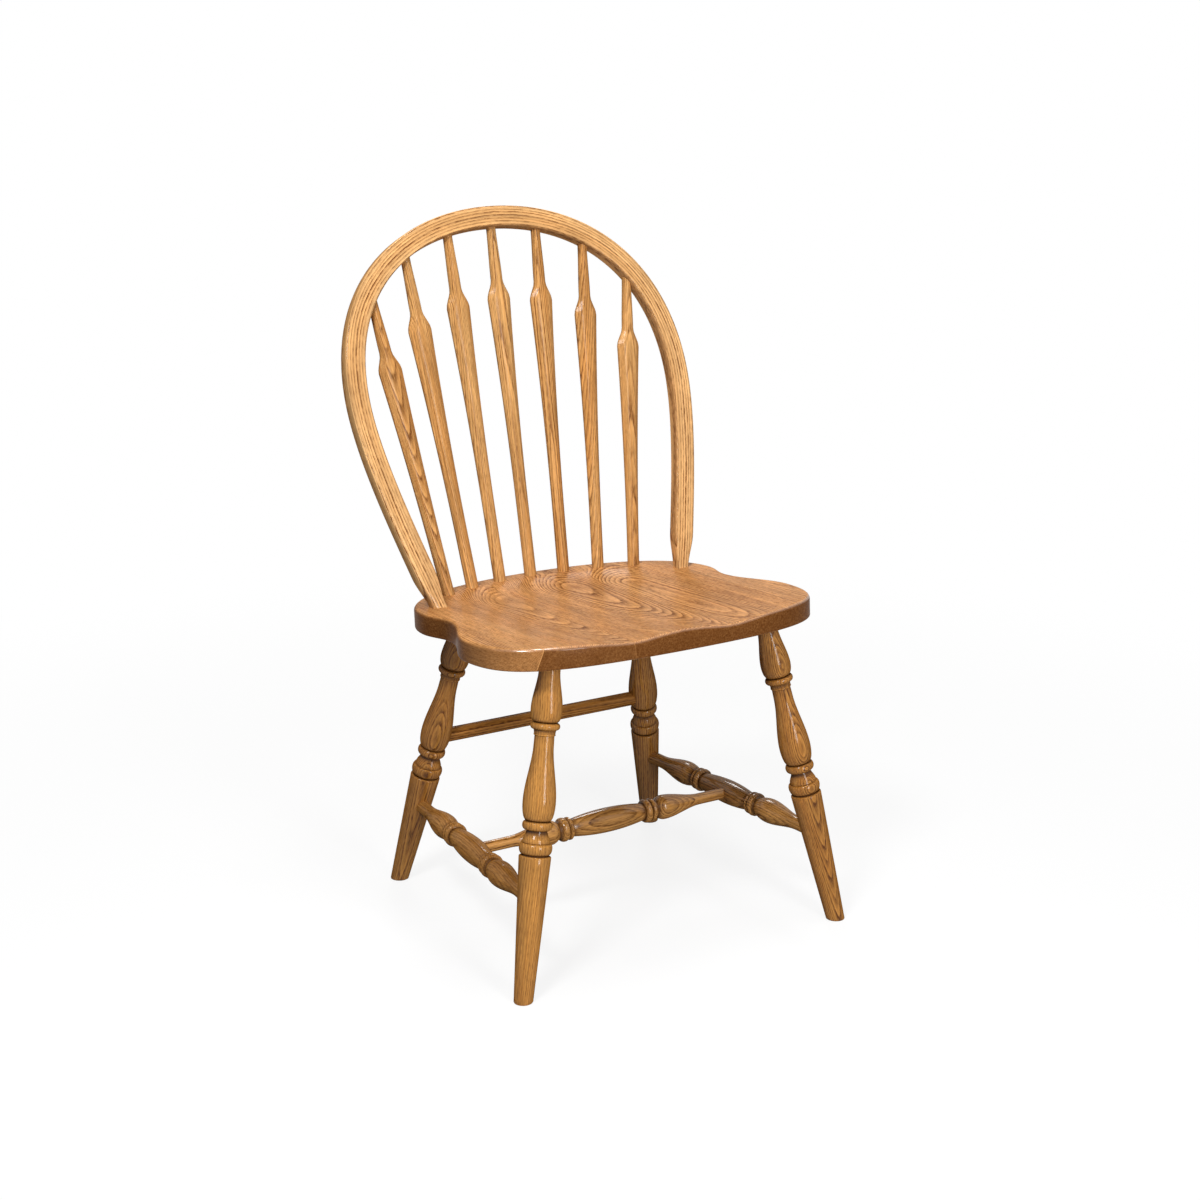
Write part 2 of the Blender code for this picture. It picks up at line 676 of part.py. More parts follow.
def build_base():
    """Legs and stretchers. Returns the spans of the sockets that the legs need in the seat."""
    reach = 2 * BLOCK_REACH
    floor = block("floor", (-reach, -reach, -reach), (reach, reach, 0))
    in_seat = []
    crossings = []
    ends = []
    for side, word in ((-1, "left"), (1, "right")):
        front_foot = Vector((side * FRONT_FOOT_X, FRONT_FOOT_Y, 0))
        front_top = seat_point(side * FRONT_TOP_X, FRONT_TOP_Y, SEAT_THICKNESS)
        rear_foot = Vector((side * REAR_FOOT_X, REAR_FOOT_Y, 0))
        rear_top = seat_point(side * REAR_TOP_X, REAR_TOP_Y, SEAT_THICKNESS)
        front = on_axis(front_foot, front_top, SIDE_STRETCHER_FRONT_Z)
        rear = on_axis(rear_foot, rear_top, SIDE_STRETCHER_REAR_Z)
        back = on_axis(rear_foot, rear_top, REAR_STRETCHER_Z)
        run = (rear - front).normalized()
        inward = Vector((-side, 0, 0))
        front_joints = [(front, run, STRETCHER_END_DIAMETER)]
        rear_joints = [(rear, -run, STRETCHER_END_DIAMETER), (back, inward, REAR_STRETCHER_DIAMETER)]
        in_seat.append(build_leg("leg_front_" + word, front_foot, front_top, floor, front_joints))
        in_seat.append(build_leg("leg_rear_" + word, rear_foot, rear_top, floor, rear_joints))
        name = "side_stretcher_" + word
        stretcher = build_stretcher(name, front, rear, SIDE_STRETCHER_SHIFT)
        crossing = front.lerp(rear, (CENTRE_STRETCHER_Y - front.y) / (rear.y - front.y))
        crossing.z += CENTRE_STRETCHER_RISE
        tenon = STRETCHER_END_DIAMETER - CENTRE_STRETCHER_SLIMMER
        combine(stretcher, "DIFFERENCE", rods(name + "_socket", [socket_span(crossing, inward, tenon)]))
        crossings.append(crossing)
        ends.append(back)
    build_stretcher("centre_stretcher", *crossings, slimmer=CENTRE_STRETCHER_SLIMMER)
    half = (ends[1] - ends[0]).length / 2 - AXIS_STOP
    dowel = [(half, REAR_STRETCHER_DIAMETER), (-half, REAR_STRETCHER_DIAMETER)]
    middle = (ends[0] + ends[1]) / 2
    turned("rear_stretcher", dowel, ROUND_SIDES, STRETCHER_FINISH, aligned(middle, ends[1] - ends[0]))
    return in_seat


for stale in list(bpy.data.objects):
    bpy.data.objects.remove(stale)

parts = bpy.data.collections.new("bow_back_side_chair")
cutters = bpy.data.collections.new("cutters")
bpy.context.scene.collection.children.link(parts)
bpy.context.scene.collection.children.link(cutters)
chair = bpy.data.objects.new("chair", None)
parts.objects.link(chair)

SEAT_FINISH = material("oak_seat", (0.45, 0.21, 0.075), 0.32)
BOW_FINISH = material("oak_bow", (0.60, 0.32, 0.12), 0.35)
SPINDLE_FINISH = material("oak_spindle", (0.56, 0.28, 0.10), 0.35)
LEG_FINISH = material("oak_leg", (0.48, 0.23, 0.075), 0.33)
STRETCHER_FINISH = material("oak_stretcher", (0.40, 0.19, 0.065), 0.33)

build_seat(build_back() + build_base())
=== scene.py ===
"""Looks of the bow back side chair: golden oak under a satin lacquer, in a plain white studio.

Metres, +Z up. The chair faces -Y and stands on z = 0, and left is -X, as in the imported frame.
"""

import logging
import math
from bisect import bisect_right
from dataclasses import dataclass, field
from enum import Enum
from typing import Callable, Sequence

import bmesh
import bpy
from mathutils import Matrix, Vector
from mathutils.geometry import interpolate_bezier


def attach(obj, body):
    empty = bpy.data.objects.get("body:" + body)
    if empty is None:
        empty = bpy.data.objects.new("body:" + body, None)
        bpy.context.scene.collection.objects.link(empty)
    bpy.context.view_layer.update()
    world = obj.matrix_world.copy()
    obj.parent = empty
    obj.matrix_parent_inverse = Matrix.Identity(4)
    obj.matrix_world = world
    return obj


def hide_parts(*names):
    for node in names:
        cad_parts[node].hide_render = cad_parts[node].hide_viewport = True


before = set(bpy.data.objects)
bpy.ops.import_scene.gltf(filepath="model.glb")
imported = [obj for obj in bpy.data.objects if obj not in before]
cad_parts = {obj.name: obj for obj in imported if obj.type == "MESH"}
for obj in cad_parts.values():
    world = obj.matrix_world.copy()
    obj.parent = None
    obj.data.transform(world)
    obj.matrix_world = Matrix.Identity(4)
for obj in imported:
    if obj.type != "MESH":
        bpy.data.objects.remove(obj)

LOG = logging.getLogger("bow_back_side_chair")
BODY = "root"
PHOTO_WIDTH = 1200
SENSOR = 36.0
FINE = 0.00001
WHITE = (1.0, 1.0, 1.0, 1.0)

Colour = tuple[float, float, float]
Station = tuple[float, float]
Knot = tuple[Vector, Vector, Vector]
Piece = bpy.types.Object
Vertex = bpy.types.MeshVertex
Socket = bpy.types.NodeSocket


class Side(Enum):
    """Side of the chair, as seen from the front."""

    LEFT = -1
    RIGHT = 1

    @property
    def word(self) -> str:
        """Word for the side in a piece's name."""
        return self.name.lower()


class Row(Enum):
    """Row of legs."""

    FRONT = "front"
    REAR = "rear"


class Mark(Enum):
    """Attributes on a mesh that tell the oak how its wood lies, and how much shade is painted into its
    grooves.
    """

    GRAIN = "grain"
    TONE = "tone"
    FIGURE = "figure"
    # painted shade: how far a vertex lies down in a groove, which darkens it there
    RECESS = "recess"
    END = "end_grain"
    SEAM = "seam"
    SHEEN = "sheen"

    @property
    def socket(self) -> str:
        """Name of the oak figure's input for it."""
        return self.value.replace("_", " ").title()


def clamp(value: float) -> float:
    """Value held between 0 and 1."""
    return min(max(value, 0.0), 1.0)


def ease(share: float) -> float:
    """Smooth step from 0 to 1, held level outside that range."""
    held = clamp(share)
    return held * held * (3.0 - 2.0 * held)


def past(value: float, start: float, over: float) -> float:
    """How far a value is past a start, from 0 to 1, eased over a range."""
    return ease((value - start) / over)


def blend(low: float, high: float, share: float) -> float:
    """Value at a share of the way from low to high."""
    return low + (high - low) * share


def climb(share: float) -> float:
    """Quarter wave from 0 to 1 that starts steep and ends level."""
    return math.sin(math.pi / 2 * share)


def dip(share: float) -> float:
    """Quarter wave from 0 to 1 that starts level and ends steep."""
    return 1.0 - math.cos(math.pi / 2 * share)


def aligned(point: Vector, axis: Vector) -> Matrix:
    """Placement with local Z along an axis and local X as near to world X as it can be.

    Args:
        point: Where the local origin goes.
        axis: Direction of local Z. Where it runs along X itself, world Y is the guide.

    Returns:
        The placement as a matrix.
    """
    up = axis.normalized()
    guide = Vector((0, 1, 0)) if abs(up.x) > abs(up.z) + abs(up.y) else Vector((1, 0, 0))
    across = (guide - up * up.dot(guide)).normalized()
    turn = Matrix((across, up.cross(across), up)).transposed()
    return Matrix.Translation(point) @ turn.to_4x4()


def bezier_points(knots: Sequence[Knot], steps: int) -> list[Vector]:
    """Close points along a Bezier curve.

    Args:
        knots: Each knot's place, and the handles before and after it.
        steps: Points from one knot to the next.

    Returns:
        The points, with both ends.
    """
    points: list[Vector] = []
    for (start, _, leave), (end, arrive, _) in zip(knots, knots[1:]):
        points.extend(interpolate_bezier(start, leave, arrive, end, steps)[:-1])
    return points + [knots[-1][0]]


class Bench:
    """Steps on one mesh at a time, as at a workbench."""

    @staticmethod
    def clear() -> None:
        """Deselect everything, as before a primitive is added."""
        bpy.ops.object.select_all(action="DESELECT")

    @staticmethod
    def hold(piece: Piece) -> None:
        """Make one piece the only one that is selected, and active.

        Args:
            piece: The piece.
        """
        Bench.clear()
        piece.select_set(True)
        bpy.context.view_layer.objects.active = piece

    @staticmethod
    def take(name: str) -> Piece:
        """Name the piece that an operator has just added.

        Args:
            name: Name for the object and its mesh.

        Returns:
            The piece.
        """
        piece = bpy.context.active_object
        piece.name = name
        piece.data.name = name
        return piece

    @staticmethod
    def edit() -> None:
        """Enter edit mode with everything selected."""
        bpy.ops.object.mode_set(mode="EDIT")
        bpy.ops.mesh.select_all(action="SELECT")

    @staticmethod
    def done() -> None:
        """Leave edit mode."""
        bpy.ops.object.mode_set(mode="OBJECT")

    @staticmethod
    def pick_edges(piece: Piece, test: Callable[[bmesh.types.BMEdge], bool]) -> None:
        """Select edges in edit mode.

        Args:
            piece: The piece in edit mode.
            test: Says whether an edge is wanted.
        """
        bpy.ops.mesh.select_mode(type="EDGE")
        bpy.ops.mesh.select_all(action="DESELECT")
        work = bmesh.from_edit_mesh(piece.data)
        work.normal_update()
        for edge in work.edges:
            edge.select = test(edge)
        work.select_flush_mode()
        bmesh.update_edit_mesh(piece.data)

    @staticmethod
    def extrude(x: float, y: float, z: float) -> None:
        """Extrude what is selected and move it, in edit mode."""
        bpy.ops.mesh.extrude_region_move(TRANSFORM_OT_translate={"value": (x, y, z)})

    @staticmethod
    def close() -> None:
        """Merge doubles and turn all faces outwards, in edit mode."""
        bpy.ops.mesh.select_all(action="SELECT")
        bpy.ops.mesh.remove_doubles(threshold=FINE)
        bpy.ops.mesh.normals_make_consistent(inside=False)

    @staticmethod
    def cut(piece: Piece, point: Vector, out: Vector) -> None:
        """Cut a piece by a plane and cap it, and stay in edit mode.

        Args:
            piece: The piece, with its place kept in its mesh.
            point: A point on the plane.
            out: Direction of what is cut off.
        """
        Bench.hold(piece)
        Bench.edit()
        bpy.ops.mesh.bisect(plane_co=point, plane_no=out, use_fill=True, clear_outer=True, threshold=FINE)

    @staticmethod
    def copy(master: Piece, name: str) -> Piece:
        """Copy of a piece with a mesh of its own.

        Args:
            master: The piece to copy.
            name: Name of the copy.

        Returns:
            The copy.
        """
        Bench.hold(master)
        bpy.ops.object.duplicate(linked=False)
        return Bench.take(name)

    @staticmethod
    def place(piece: Piece, placement: Matrix) -> None:
        """Put a piece in its place, with the place kept in its mesh.

        Args:
            piece: The piece.
            placement: Where it goes from where it was shaped.
        """
        Bench.hold(piece)
        piece.matrix_world = placement
        bpy.ops.object.transform_apply(location=True, rotation=True, scale=True)

    @staticmethod
    def smooth(piece: Piece, degrees: float) -> None:
        """Shade a piece smooth, with its sharper edges kept."""
        Bench.hold(piece)
        bpy.ops.object.shade_smooth_by_angle(angle=math.radians(degrees))

    @staticmethod
    def scrap(piece: Piece) -> None:
        """Remove a master that has been copied."""
        Bench.hold(piece)
        bpy.ops.object.delete()

    @staticmethod
    def mark(piece: Piece, kind: Mark, value: Callable[[Vertex], float]) -> None:
        """Write a number on each vertex of a piece, out of edit mode."""
        layer = piece.data.attributes.new(kind.value, "FLOAT", "POINT")
        layer.data.foreach_set("value", [value(vertex) for vertex in piece.data.vertices])


@dataclass(frozen=True)
class Billet:
    """The wood that a piece was cut from: where its pith lies and how it is turned.

    Attributes:
        pith: Distance across the grain from the pith to the piece's own axis.
        turn: Direction of the pith round the piece's axis, in degrees.
        start: Where along the log the piece was cut, which gives it a figure of its own.
        lean: Slope of the grain against the piece's axis.
        tone: From 0 for pale wood to 1 for warm wood.
        figure: How plainly its rings show.
        close: How many times closer than usual its rings lie.
    """

    pith: float
    turn: float
    start: float
    lean: float = 0.02
    tone: float = 0.4
    figure: float = 1.0
    close: float = 1.0

    def stamp(self, piece: Piece, to_wood: Matrix = Matrix()) -> None:
        """Write the wood's coordinates and tone on a piece, so that its figure follows its form.

        Args:
            piece: The piece, still where it was shaped.
            to_wood: Turns the piece's coordinates so that the grain runs along Z.
        """
        angle = math.radians(self.turn)
        out = Vector((math.cos(angle), math.sin(angle), 0.0))
        values = []
        for vertex in piece.data.vertices:
            place = to_wood @ vertex.co
            shift = out * (self.pith + self.lean * place.z)
            across = (place + shift) * self.close
            values.extend((across.x, across.y, place.z + self.start))
        layer = piece.data.attributes.new(Mark.GRAIN.value, "FLOAT_VECTOR", "POINT")
        layer.data.foreach_set("vector", values)
        Bench.mark(piece, Mark.TONE, lambda vertex: self.tone)
        Bench.mark(piece, Mark.FIGURE, lambda vertex: self.figure)


class NodeBench:
    """Nodes of one tree, placed and joined by short calls."""

    ROW = 12
    STEP = (190, -240)
    NOISE_ROUGHNESS = 0.55
    MIX_INPUTS = (0, 6, 7)
    MIX_OUTPUT = 2

    def __init__(self, tree: bpy.types.NodeTree) -> None:
        """Start with an empty tree."""
        self.tree = tree
        self.tree.nodes.clear()

    @classmethod
    def of(cls, owner: bpy.types.Material | bpy.types.World) -> "NodeBench":
        """Nodes of a new material or world."""
        owner.use_nodes = True
        return cls(owner.node_tree)

    def add(self, kind: str, inputs: dict[str | int, object] | None = None,
            **settings: object) -> bpy.types.Node:
        """Add a node.

        Args:
            kind: Type of the node.
            inputs: Outputs to link or plain values to set, by the inputs' names or numbers.
            **settings: Properties of the node.

        Returns:
            The node.
        """
        node = self.tree.nodes.new(kind)
        row, column = divmod(len(self.tree.nodes), self.ROW)
        node.location = (self.STEP[0] * column, self.STEP[1] * row)
        for name, value in settings.items():
            setattr(node, name, value)
        for name, source in (inputs or {}).items():
            if isinstance(source, Socket):
                self.tree.links.new(source, node.inputs[name])
            else:
                node.inputs[name].default_value = source
        return node

    def math(self, operation: str, *sources: object, held: bool = False) -> Socket:
        """Result of an operation on outputs or numbers, held between 0 and 1 where that is asked."""
        inputs = dict(enumerate(sources))
        return self.add("ShaderNodeMath", inputs, operation=operation, use_clamp=held).outputs[0]

    def vector(self, operation: str, *sources: object) -> Socket:
        """Result of an operation on outputs or vectors, which is a number for a length."""
        node = self.add("ShaderNodeVectorMath", dict(enumerate(sources)), operation=operation)
        return node.outputs["Value" if operation == "LENGTH" else "Vector"]

    def noise(self, place: Socket, spread: Sequence[float], detail: float = 2.0,
              output: str = "Fac") -> Socket:
        """Noise that is stretched along the grain.

        Args:
            place: Output with the wood's coordinates.
            spread: Cycles per metre along each axis.
            detail: Finer layers of the noise.
            output: Which output of the noise is wanted.

        Returns:
            That output.
        """
        inputs = {"Vector": self.vector("MULTIPLY", place, spread), "Scale": 1.0, "Detail": detail,
                  "Roughness": self.NOISE_ROUGHNESS}
        return self.add("ShaderNodeTexNoise", inputs, noise_dimensions="3D").outputs[output]

    def span(self, value: Socket, low: float, high: float, start: float = 0.0, end: float = 1.0) -> Socket:
        """Value mapped smoothly from low and high to start and end, and level outside them."""
        inputs = {"Value": value, "From Min": low, "From Max": high, "To Min": start, "To Max": end}
        return self.add("ShaderNodeMapRange", inputs, interpolation_type="SMOOTHSTEP").outputs["Result"]

    def mix(self, share: object, first: object, second: object, mode: str = "MIX") -> Socket:
        """Mix two colours.

        Args:
            share: How much of the second colour.
            first: Output or colour.
            second: Output or colour.
            mode: How the colours meet.

        Returns:
            The mixed colour.
        """
        inputs = dict(zip(self.MIX_INPUTS, (share, first, second)))
        node = self.add("ShaderNodeMix", inputs, data_type="RGBA", blend_type=mode, clamp_factor=True)
        return node.outputs[self.MIX_OUTPUT]


class OakFigure:
    """Shared node group of the oak's figure: growth rings, fibres, pores, end grain, and shade painted into
    grooves.
    """

    NAME = "oak_figure"
    # Recess is how much shade is painted into a groove; Groove is its colour, which also stains pores and end
    # grain
    VALUES = (("Tone", 0.4), ("Figure", 1.0), ("Recess", 0.0), ("End Grain", 0.0), ("Seam", 0.0),
              ("Ring Gap", 0.005), ("Wander", 0.006), ("Ring Strength", 0.6), ("Pore Strength", 0.5))
    COLOURS = ("Pale", "Warm", "Dark", "Groove")
    OUTPUTS = (("Color", "NodeSocketColor"), ("Roughness", "NodeSocketFloat"), ("Height", "NodeSocketFloat"))
    # Cycles of each noise per metre across the grain, twice, and along it
    DRIFT = (13, 13, 5)
    FIBRE = (340, 340, 6)
    DASH = (330, 330, 95)
    PORE = (520, 520, 95)
    MOTTLE = (34, 34, 12)
    BROAD = (8, 8, 2.2)
    STREAK = (95, 95, 2.6)
    SPECKLE = (420, 420, 420)
    UNEVEN = 55.0
    # Finer layers of a smooth noise and of a busy one, and what every noise swings about
    SMOOTH = 1.0
    BUSY = 3.0
    MIDDLE = (0.5, 0.5, 0.5)
    # Ranges of values that count in a noise
    MOST = (0.3, 0.7)
    FIBRE_RANGE = (0.27, 0.73)
    DASH_RANGE = (0.34, 0.64)
    PORE_RANGE = (0.51, 0.62)
    # Form and strength of the growth rings
    UNEVEN_SHIFT = 1.6
    FIBRE_SHIFT = 0.30
    RING_ONSET = 0.18
    RING_FADE = 1.7
    RING_LUCK = (0.85, 1.55)
    RING_DASHES = (0.60, 1.35)
    RING_FRAY = (0.55, 1.25)
    # Colour of the wood between them
    BROAD_WARMTH = (-0.3, 0.3)
    STREAK_WARMTH = (-0.35, 0.35)
    FIBRE_SHADE = (0.78, 1.16)
    MOTTLE_SHADE = (0.88, 1.10)
    # Pores and end grain
    PORES_ON_RINGS = 0.7
    PORES_BETWEEN = 0.38
    PORE_STAIN = 0.5
    END_SPECKLE = (0.76, 1.0)
    END_STAIN = 0.60
    # Roughness and relief
    ROUGHNESS = (0.32, 0.38)
    PORE_ROUGHNESS = 0.16
    RING_ROUGHNESS = 0.06
    RING_RELIEF = 0.35

    @classmethod
    def group(cls) -> bpy.types.NodeTree:
        """The node group, with colour, roughness and height outputs, built where it isn't there yet."""
        made = bpy.data.node_groups.get(cls.NAME)
        return made if made else cls._build()

    @classmethod
    def _sockets(cls, tree: bpy.types.NodeTree) -> None:
        """Give the group its inputs and outputs.

        Args:
            tree: The new group.
        """
        tree.interface.new_socket("Grain", in_out="INPUT", socket_type="NodeSocketVector")
        for name, usual in cls.VALUES:
            socket = tree.interface.new_socket(name, in_out="INPUT", socket_type="NodeSocketFloat")
            socket.default_value = usual
        for name in cls.COLOURS:
            tree.interface.new_socket(name, in_out="INPUT", socket_type="NodeSocketColor")
        for name, kind in cls.OUTPUTS:
            tree.interface.new_socket(name, in_out="OUTPUT", socket_type=kind)

    @classmethod
    def _rings(cls, desk: NodeBench, given: dict[str, Socket], fibre: Socket) -> Socket:
        """Growth rings round the pith, each dark at its start and fading outwards.

        Args:
            desk: Nodes of the group.
            given: What the group is given.
            fibre: Fine noise along the grain, which frays the rings.

        Returns:
            How dark the ring is.
        """
        grain = given["Grain"]
        drift = desk.vector("SUBTRACT", desk.noise(grain, cls.DRIFT, cls.SMOOTH, "Color"), cls.MIDDLE)
        stray = desk.add("ShaderNodeVectorMath", {0: drift, "Scale": given["Wander"]}, operation="SCALE")
        bent = desk.vector("ADD", grain, stray.outputs["Vector"])
        reach = desk.vector("LENGTH", desk.vector("MULTIPLY", bent, (1, 1, 0)))
        inputs = {"Scale": 1.0, "Detail": cls.SMOOTH, "W": desk.math("MULTIPLY", reach, cls.UNEVEN)}
        uneven = desk.add("ShaderNodeTexNoise", inputs, noise_dimensions="1D").outputs["Fac"]
        count = desk.math("DIVIDE", reach, given["Ring Gap"])
        count = desk.math("MULTIPLY_ADD", uneven, cls.UNEVEN_SHIFT, count)
        count = desk.math("MULTIPLY_ADD", fibre, cls.FIBRE_SHIFT, count)
        phase = desk.math("FRACT", count)
        fade = desk.math("POWER", desk.math("SUBTRACT", 1.0, phase), cls.RING_FADE)
        ring = desk.math("MULTIPLY", desk.span(phase, 0.0, cls.RING_ONSET), fade)
        luck = desk.add("ShaderNodeTexWhiteNoise", {"W": desk.math("FLOOR", count)}, noise_dimensions="1D")
        ring = desk.math("MULTIPLY", ring, desk.span(luck.outputs["Value"], 0.0, 1.0, *cls.RING_LUCK))
        dash = desk.span(desk.noise(grain, cls.DASH), *cls.DASH_RANGE, *cls.RING_DASHES)
        ring = desk.math("MULTIPLY", ring, dash)
        return desk.math("MULTIPLY", ring, given["Figure"])

    @classmethod
    def _build(cls) -> bpy.types.NodeTree:
        """Lay out the group's sockets and nodes.

        Returns:
            The new node group.
        """
        tree = bpy.data.node_groups.new(cls.NAME, "ShaderNodeTree")
        cls._sockets(tree)
        desk = NodeBench(tree)
        given = dict(desk.add("NodeGroupInput").outputs.items())
        grain = given["Grain"]
        fibre = desk.noise(grain, cls.FIBRE, cls.BUSY)
        broad = desk.noise(grain, cls.BROAD)
        ring = cls._rings(desk, given, fibre)

        warmth = desk.math("ADD", desk.span(broad, *cls.MOST, *cls.BROAD_WARMTH), given["Tone"])
        streak = desk.span(desk.noise(grain, cls.STREAK), *cls.MOST, *cls.STREAK_WARMTH)
        warmth = desk.math("ADD", warmth, streak, held=True)
        colour = desk.mix(warmth, given["Pale"], given["Warm"])
        stroke = desk.math("MULTIPLY", ring, given["Ring Strength"])
        stroke = desk.math("MULTIPLY", stroke, desk.span(fibre, *cls.MOST, *cls.RING_FRAY), held=True)
        colour = desk.mix(stroke, colour, given["Dark"])
        mottle = desk.span(desk.noise(grain, cls.MOTTLE, cls.BUSY), *cls.MOST, *cls.MOTTLE_SHADE)
        shade = desk.math("MULTIPLY", desk.span(fibre, *cls.FIBRE_RANGE, *cls.FIBRE_SHADE), mottle)
        grey = desk.add("ShaderNodeCombineXYZ", dict.fromkeys(range(3), shade)).outputs[0]
        colour = desk.mix(1.0, colour, grey, "MULTIPLY")

        pore = desk.span(desk.noise(grain, cls.PORE), *cls.PORE_RANGE)
        crowd = desk.math("MULTIPLY_ADD", ring, cls.PORES_ON_RINGS, cls.PORES_BETWEEN)
        depth = desk.math("MULTIPLY", desk.math("MULTIPLY", pore, crowd), given["Pore Strength"], held=True)
        colour = desk.mix(depth, colour, desk.mix(cls.PORE_STAIN, given["Dark"], given["Groove"]))
        speckle = desk.span(desk.noise(grain, cls.SPECKLE), *cls.MOST, *cls.END_SPECKLE)
        butt = desk.math("MULTIPLY", given["End Grain"], speckle, held=True)
        colour = desk.mix(butt, colour, desk.mix(cls.END_STAIN, given["Dark"], given["Groove"]))
        # painted shade: the Recess mark darkens grooves towards the groove colour
        colour = desk.mix(given["Recess"], colour, given["Groove"])
        colour = desk.mix(given["Seam"], colour, given["Pale"])

        rough = desk.span(broad, *cls.MOST, *cls.ROUGHNESS)
        rough = desk.math("MULTIPLY_ADD", stroke, cls.RING_ROUGHNESS, rough)
        rough = desk.math("MULTIPLY_ADD", depth, cls.PORE_ROUGHNESS, rough)
        height = desk.math("SUBTRACT", 1.0, desk.math("MULTIPLY_ADD", stroke, cls.RING_RELIEF, depth))
        desk.add("NodeGroupOutput", {"Color": colour, "Roughness": rough, "Height": height})
        return tree


@dataclass(frozen=True)
class OakFinish:
    """Golden oak with its own figure and colours, under a satin lacquer.

    Attributes:
        slot: Material slot of the record that the finish stands for.
        ring_gap: Usual distance between growth rings.
        wander: How far the rings stray.
        ring_strength: How dark the rings are.
        pore_strength: How dark the pores are.
        pale: Colour of the palest wood.
        warm: Colour of the warmest wood.
        dark: Colour of the early wood in the rings.
        groove: Colour of the shade painted into grooves, and part of the stain of pores and end grain.
        gloss: Level of the wood's own shine.
        coat: Weight of the lacquer.
        coat_rim: Weight of the lacquer where the surface turns away.
        coat_roughness: Roughness of the lacquer.
        coat_ior: How strongly the lacquer bends light.
        coat_turn: How far the surface has turned away where the lacquer starts and ends its change.
        thirst: Share of the lacquer that end grain drinks up.
        polish: Lacquer that is added where a piece is marked with sheen.
        relief: Depth of the pores in the surface.
        relief_strength: How plainly that depth shows.
    """

    slot: str
    ring_gap: float = 0.0048
    wander: float = 0.008
    ring_strength: float = 0.90
    pore_strength: float = 0.55
    pale: Colour = (0.680, 0.372, 0.148)
    warm: Colour = (0.560, 0.270, 0.088)
    dark: Colour = (0.270, 0.105, 0.026)
    groove: Colour = (0.070, 0.024, 0.007)
    gloss: float = 0.0
    coat: float = 0.38
    coat_rim: float = 0.015
    coat_roughness: float = 0.13
    coat_ior: float = 1.5
    coat_turn: tuple[float, float] = (0.15, 0.70)
    thirst: float = 0.95
    polish: float = 0.8
    relief: float = 0.00025
    relief_strength: float = 0.5

    def material(self) -> bpy.types.Material:
        """Build the material.

        Returns:
            The material, named after its slot.
        """
        made = bpy.data.materials.new("golden_" + self.slot)
        desk = NodeBench.of(made)
        marks: dict[Mark, Socket] = {}
        for kind in Mark:
            outputs = desk.add("ShaderNodeAttribute", attribute_name=kind.value).outputs
            marks[kind] = outputs["Vector" if kind is Mark.GRAIN else "Fac"]
        # the Recess mark carries the shade painted into grooves
        inputs = {kind.socket: mark for kind, mark in marks.items() if kind is not Mark.SHEEN}
        inputs |= {"Ring Gap": self.ring_gap, "Wander": self.wander,
                   "Ring Strength": self.ring_strength, "Pore Strength": self.pore_strength}
        for name, colour in zip(OakFigure.COLOURS, (self.pale, self.warm, self.dark, self.groove)):
            inputs[name] = (*colour, 1.0)
        figure = desk.add("ShaderNodeGroup", inputs, node_tree=OakFigure.group()).outputs
        bump = desk.add("ShaderNodeBump", {"Strength": self.relief_strength, "Distance": self.relief,
                                           "Height": figure["Height"]})
        facing = desk.add("ShaderNodeLayerWeight").outputs["Facing"]
        lacquer = desk.span(facing, *self.coat_turn, self.coat, self.coat_rim)
        sealed = desk.math("MULTIPLY_ADD", marks[Mark.END], -self.thirst, 1.0)
        lacquer = desk.math("MULTIPLY", lacquer, sealed)
        lacquer = desk.math("MULTIPLY_ADD", marks[Mark.SHEEN], self.polish, lacquer, held=True)
        shader = desk.add("ShaderNodeBsdfPrincipled", {
            "Base Color": figure["Color"], "Roughness": figure["Roughness"], "Normal": bump.outputs["Normal"],
            "Specular IOR Level": self.gloss, "Coat Weight": lacquer, "Coat Roughness": self.coat_roughness,
            "Coat IOR": self.coat_ior})
        desk.add("ShaderNodeOutputMaterial", {"Surface": shader.outputs["BSDF"]})
        return made

    def dress(self, piece: Piece, finish: bpy.types.Material) -> None:
        """Give a piece its finish and slot, and let it ride in place of its CAD node.

        Args:
            piece: The finished piece, named after its node.
            finish: The material made from this finish.
        """
        piece.data.materials.clear()
        piece.data.materials.append(finish)
        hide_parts(piece.name.removesuffix("_oak"))
        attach(piece, BODY)
        LOG.info("%s: %d faces", piece.name, len(piece.data.polygons))


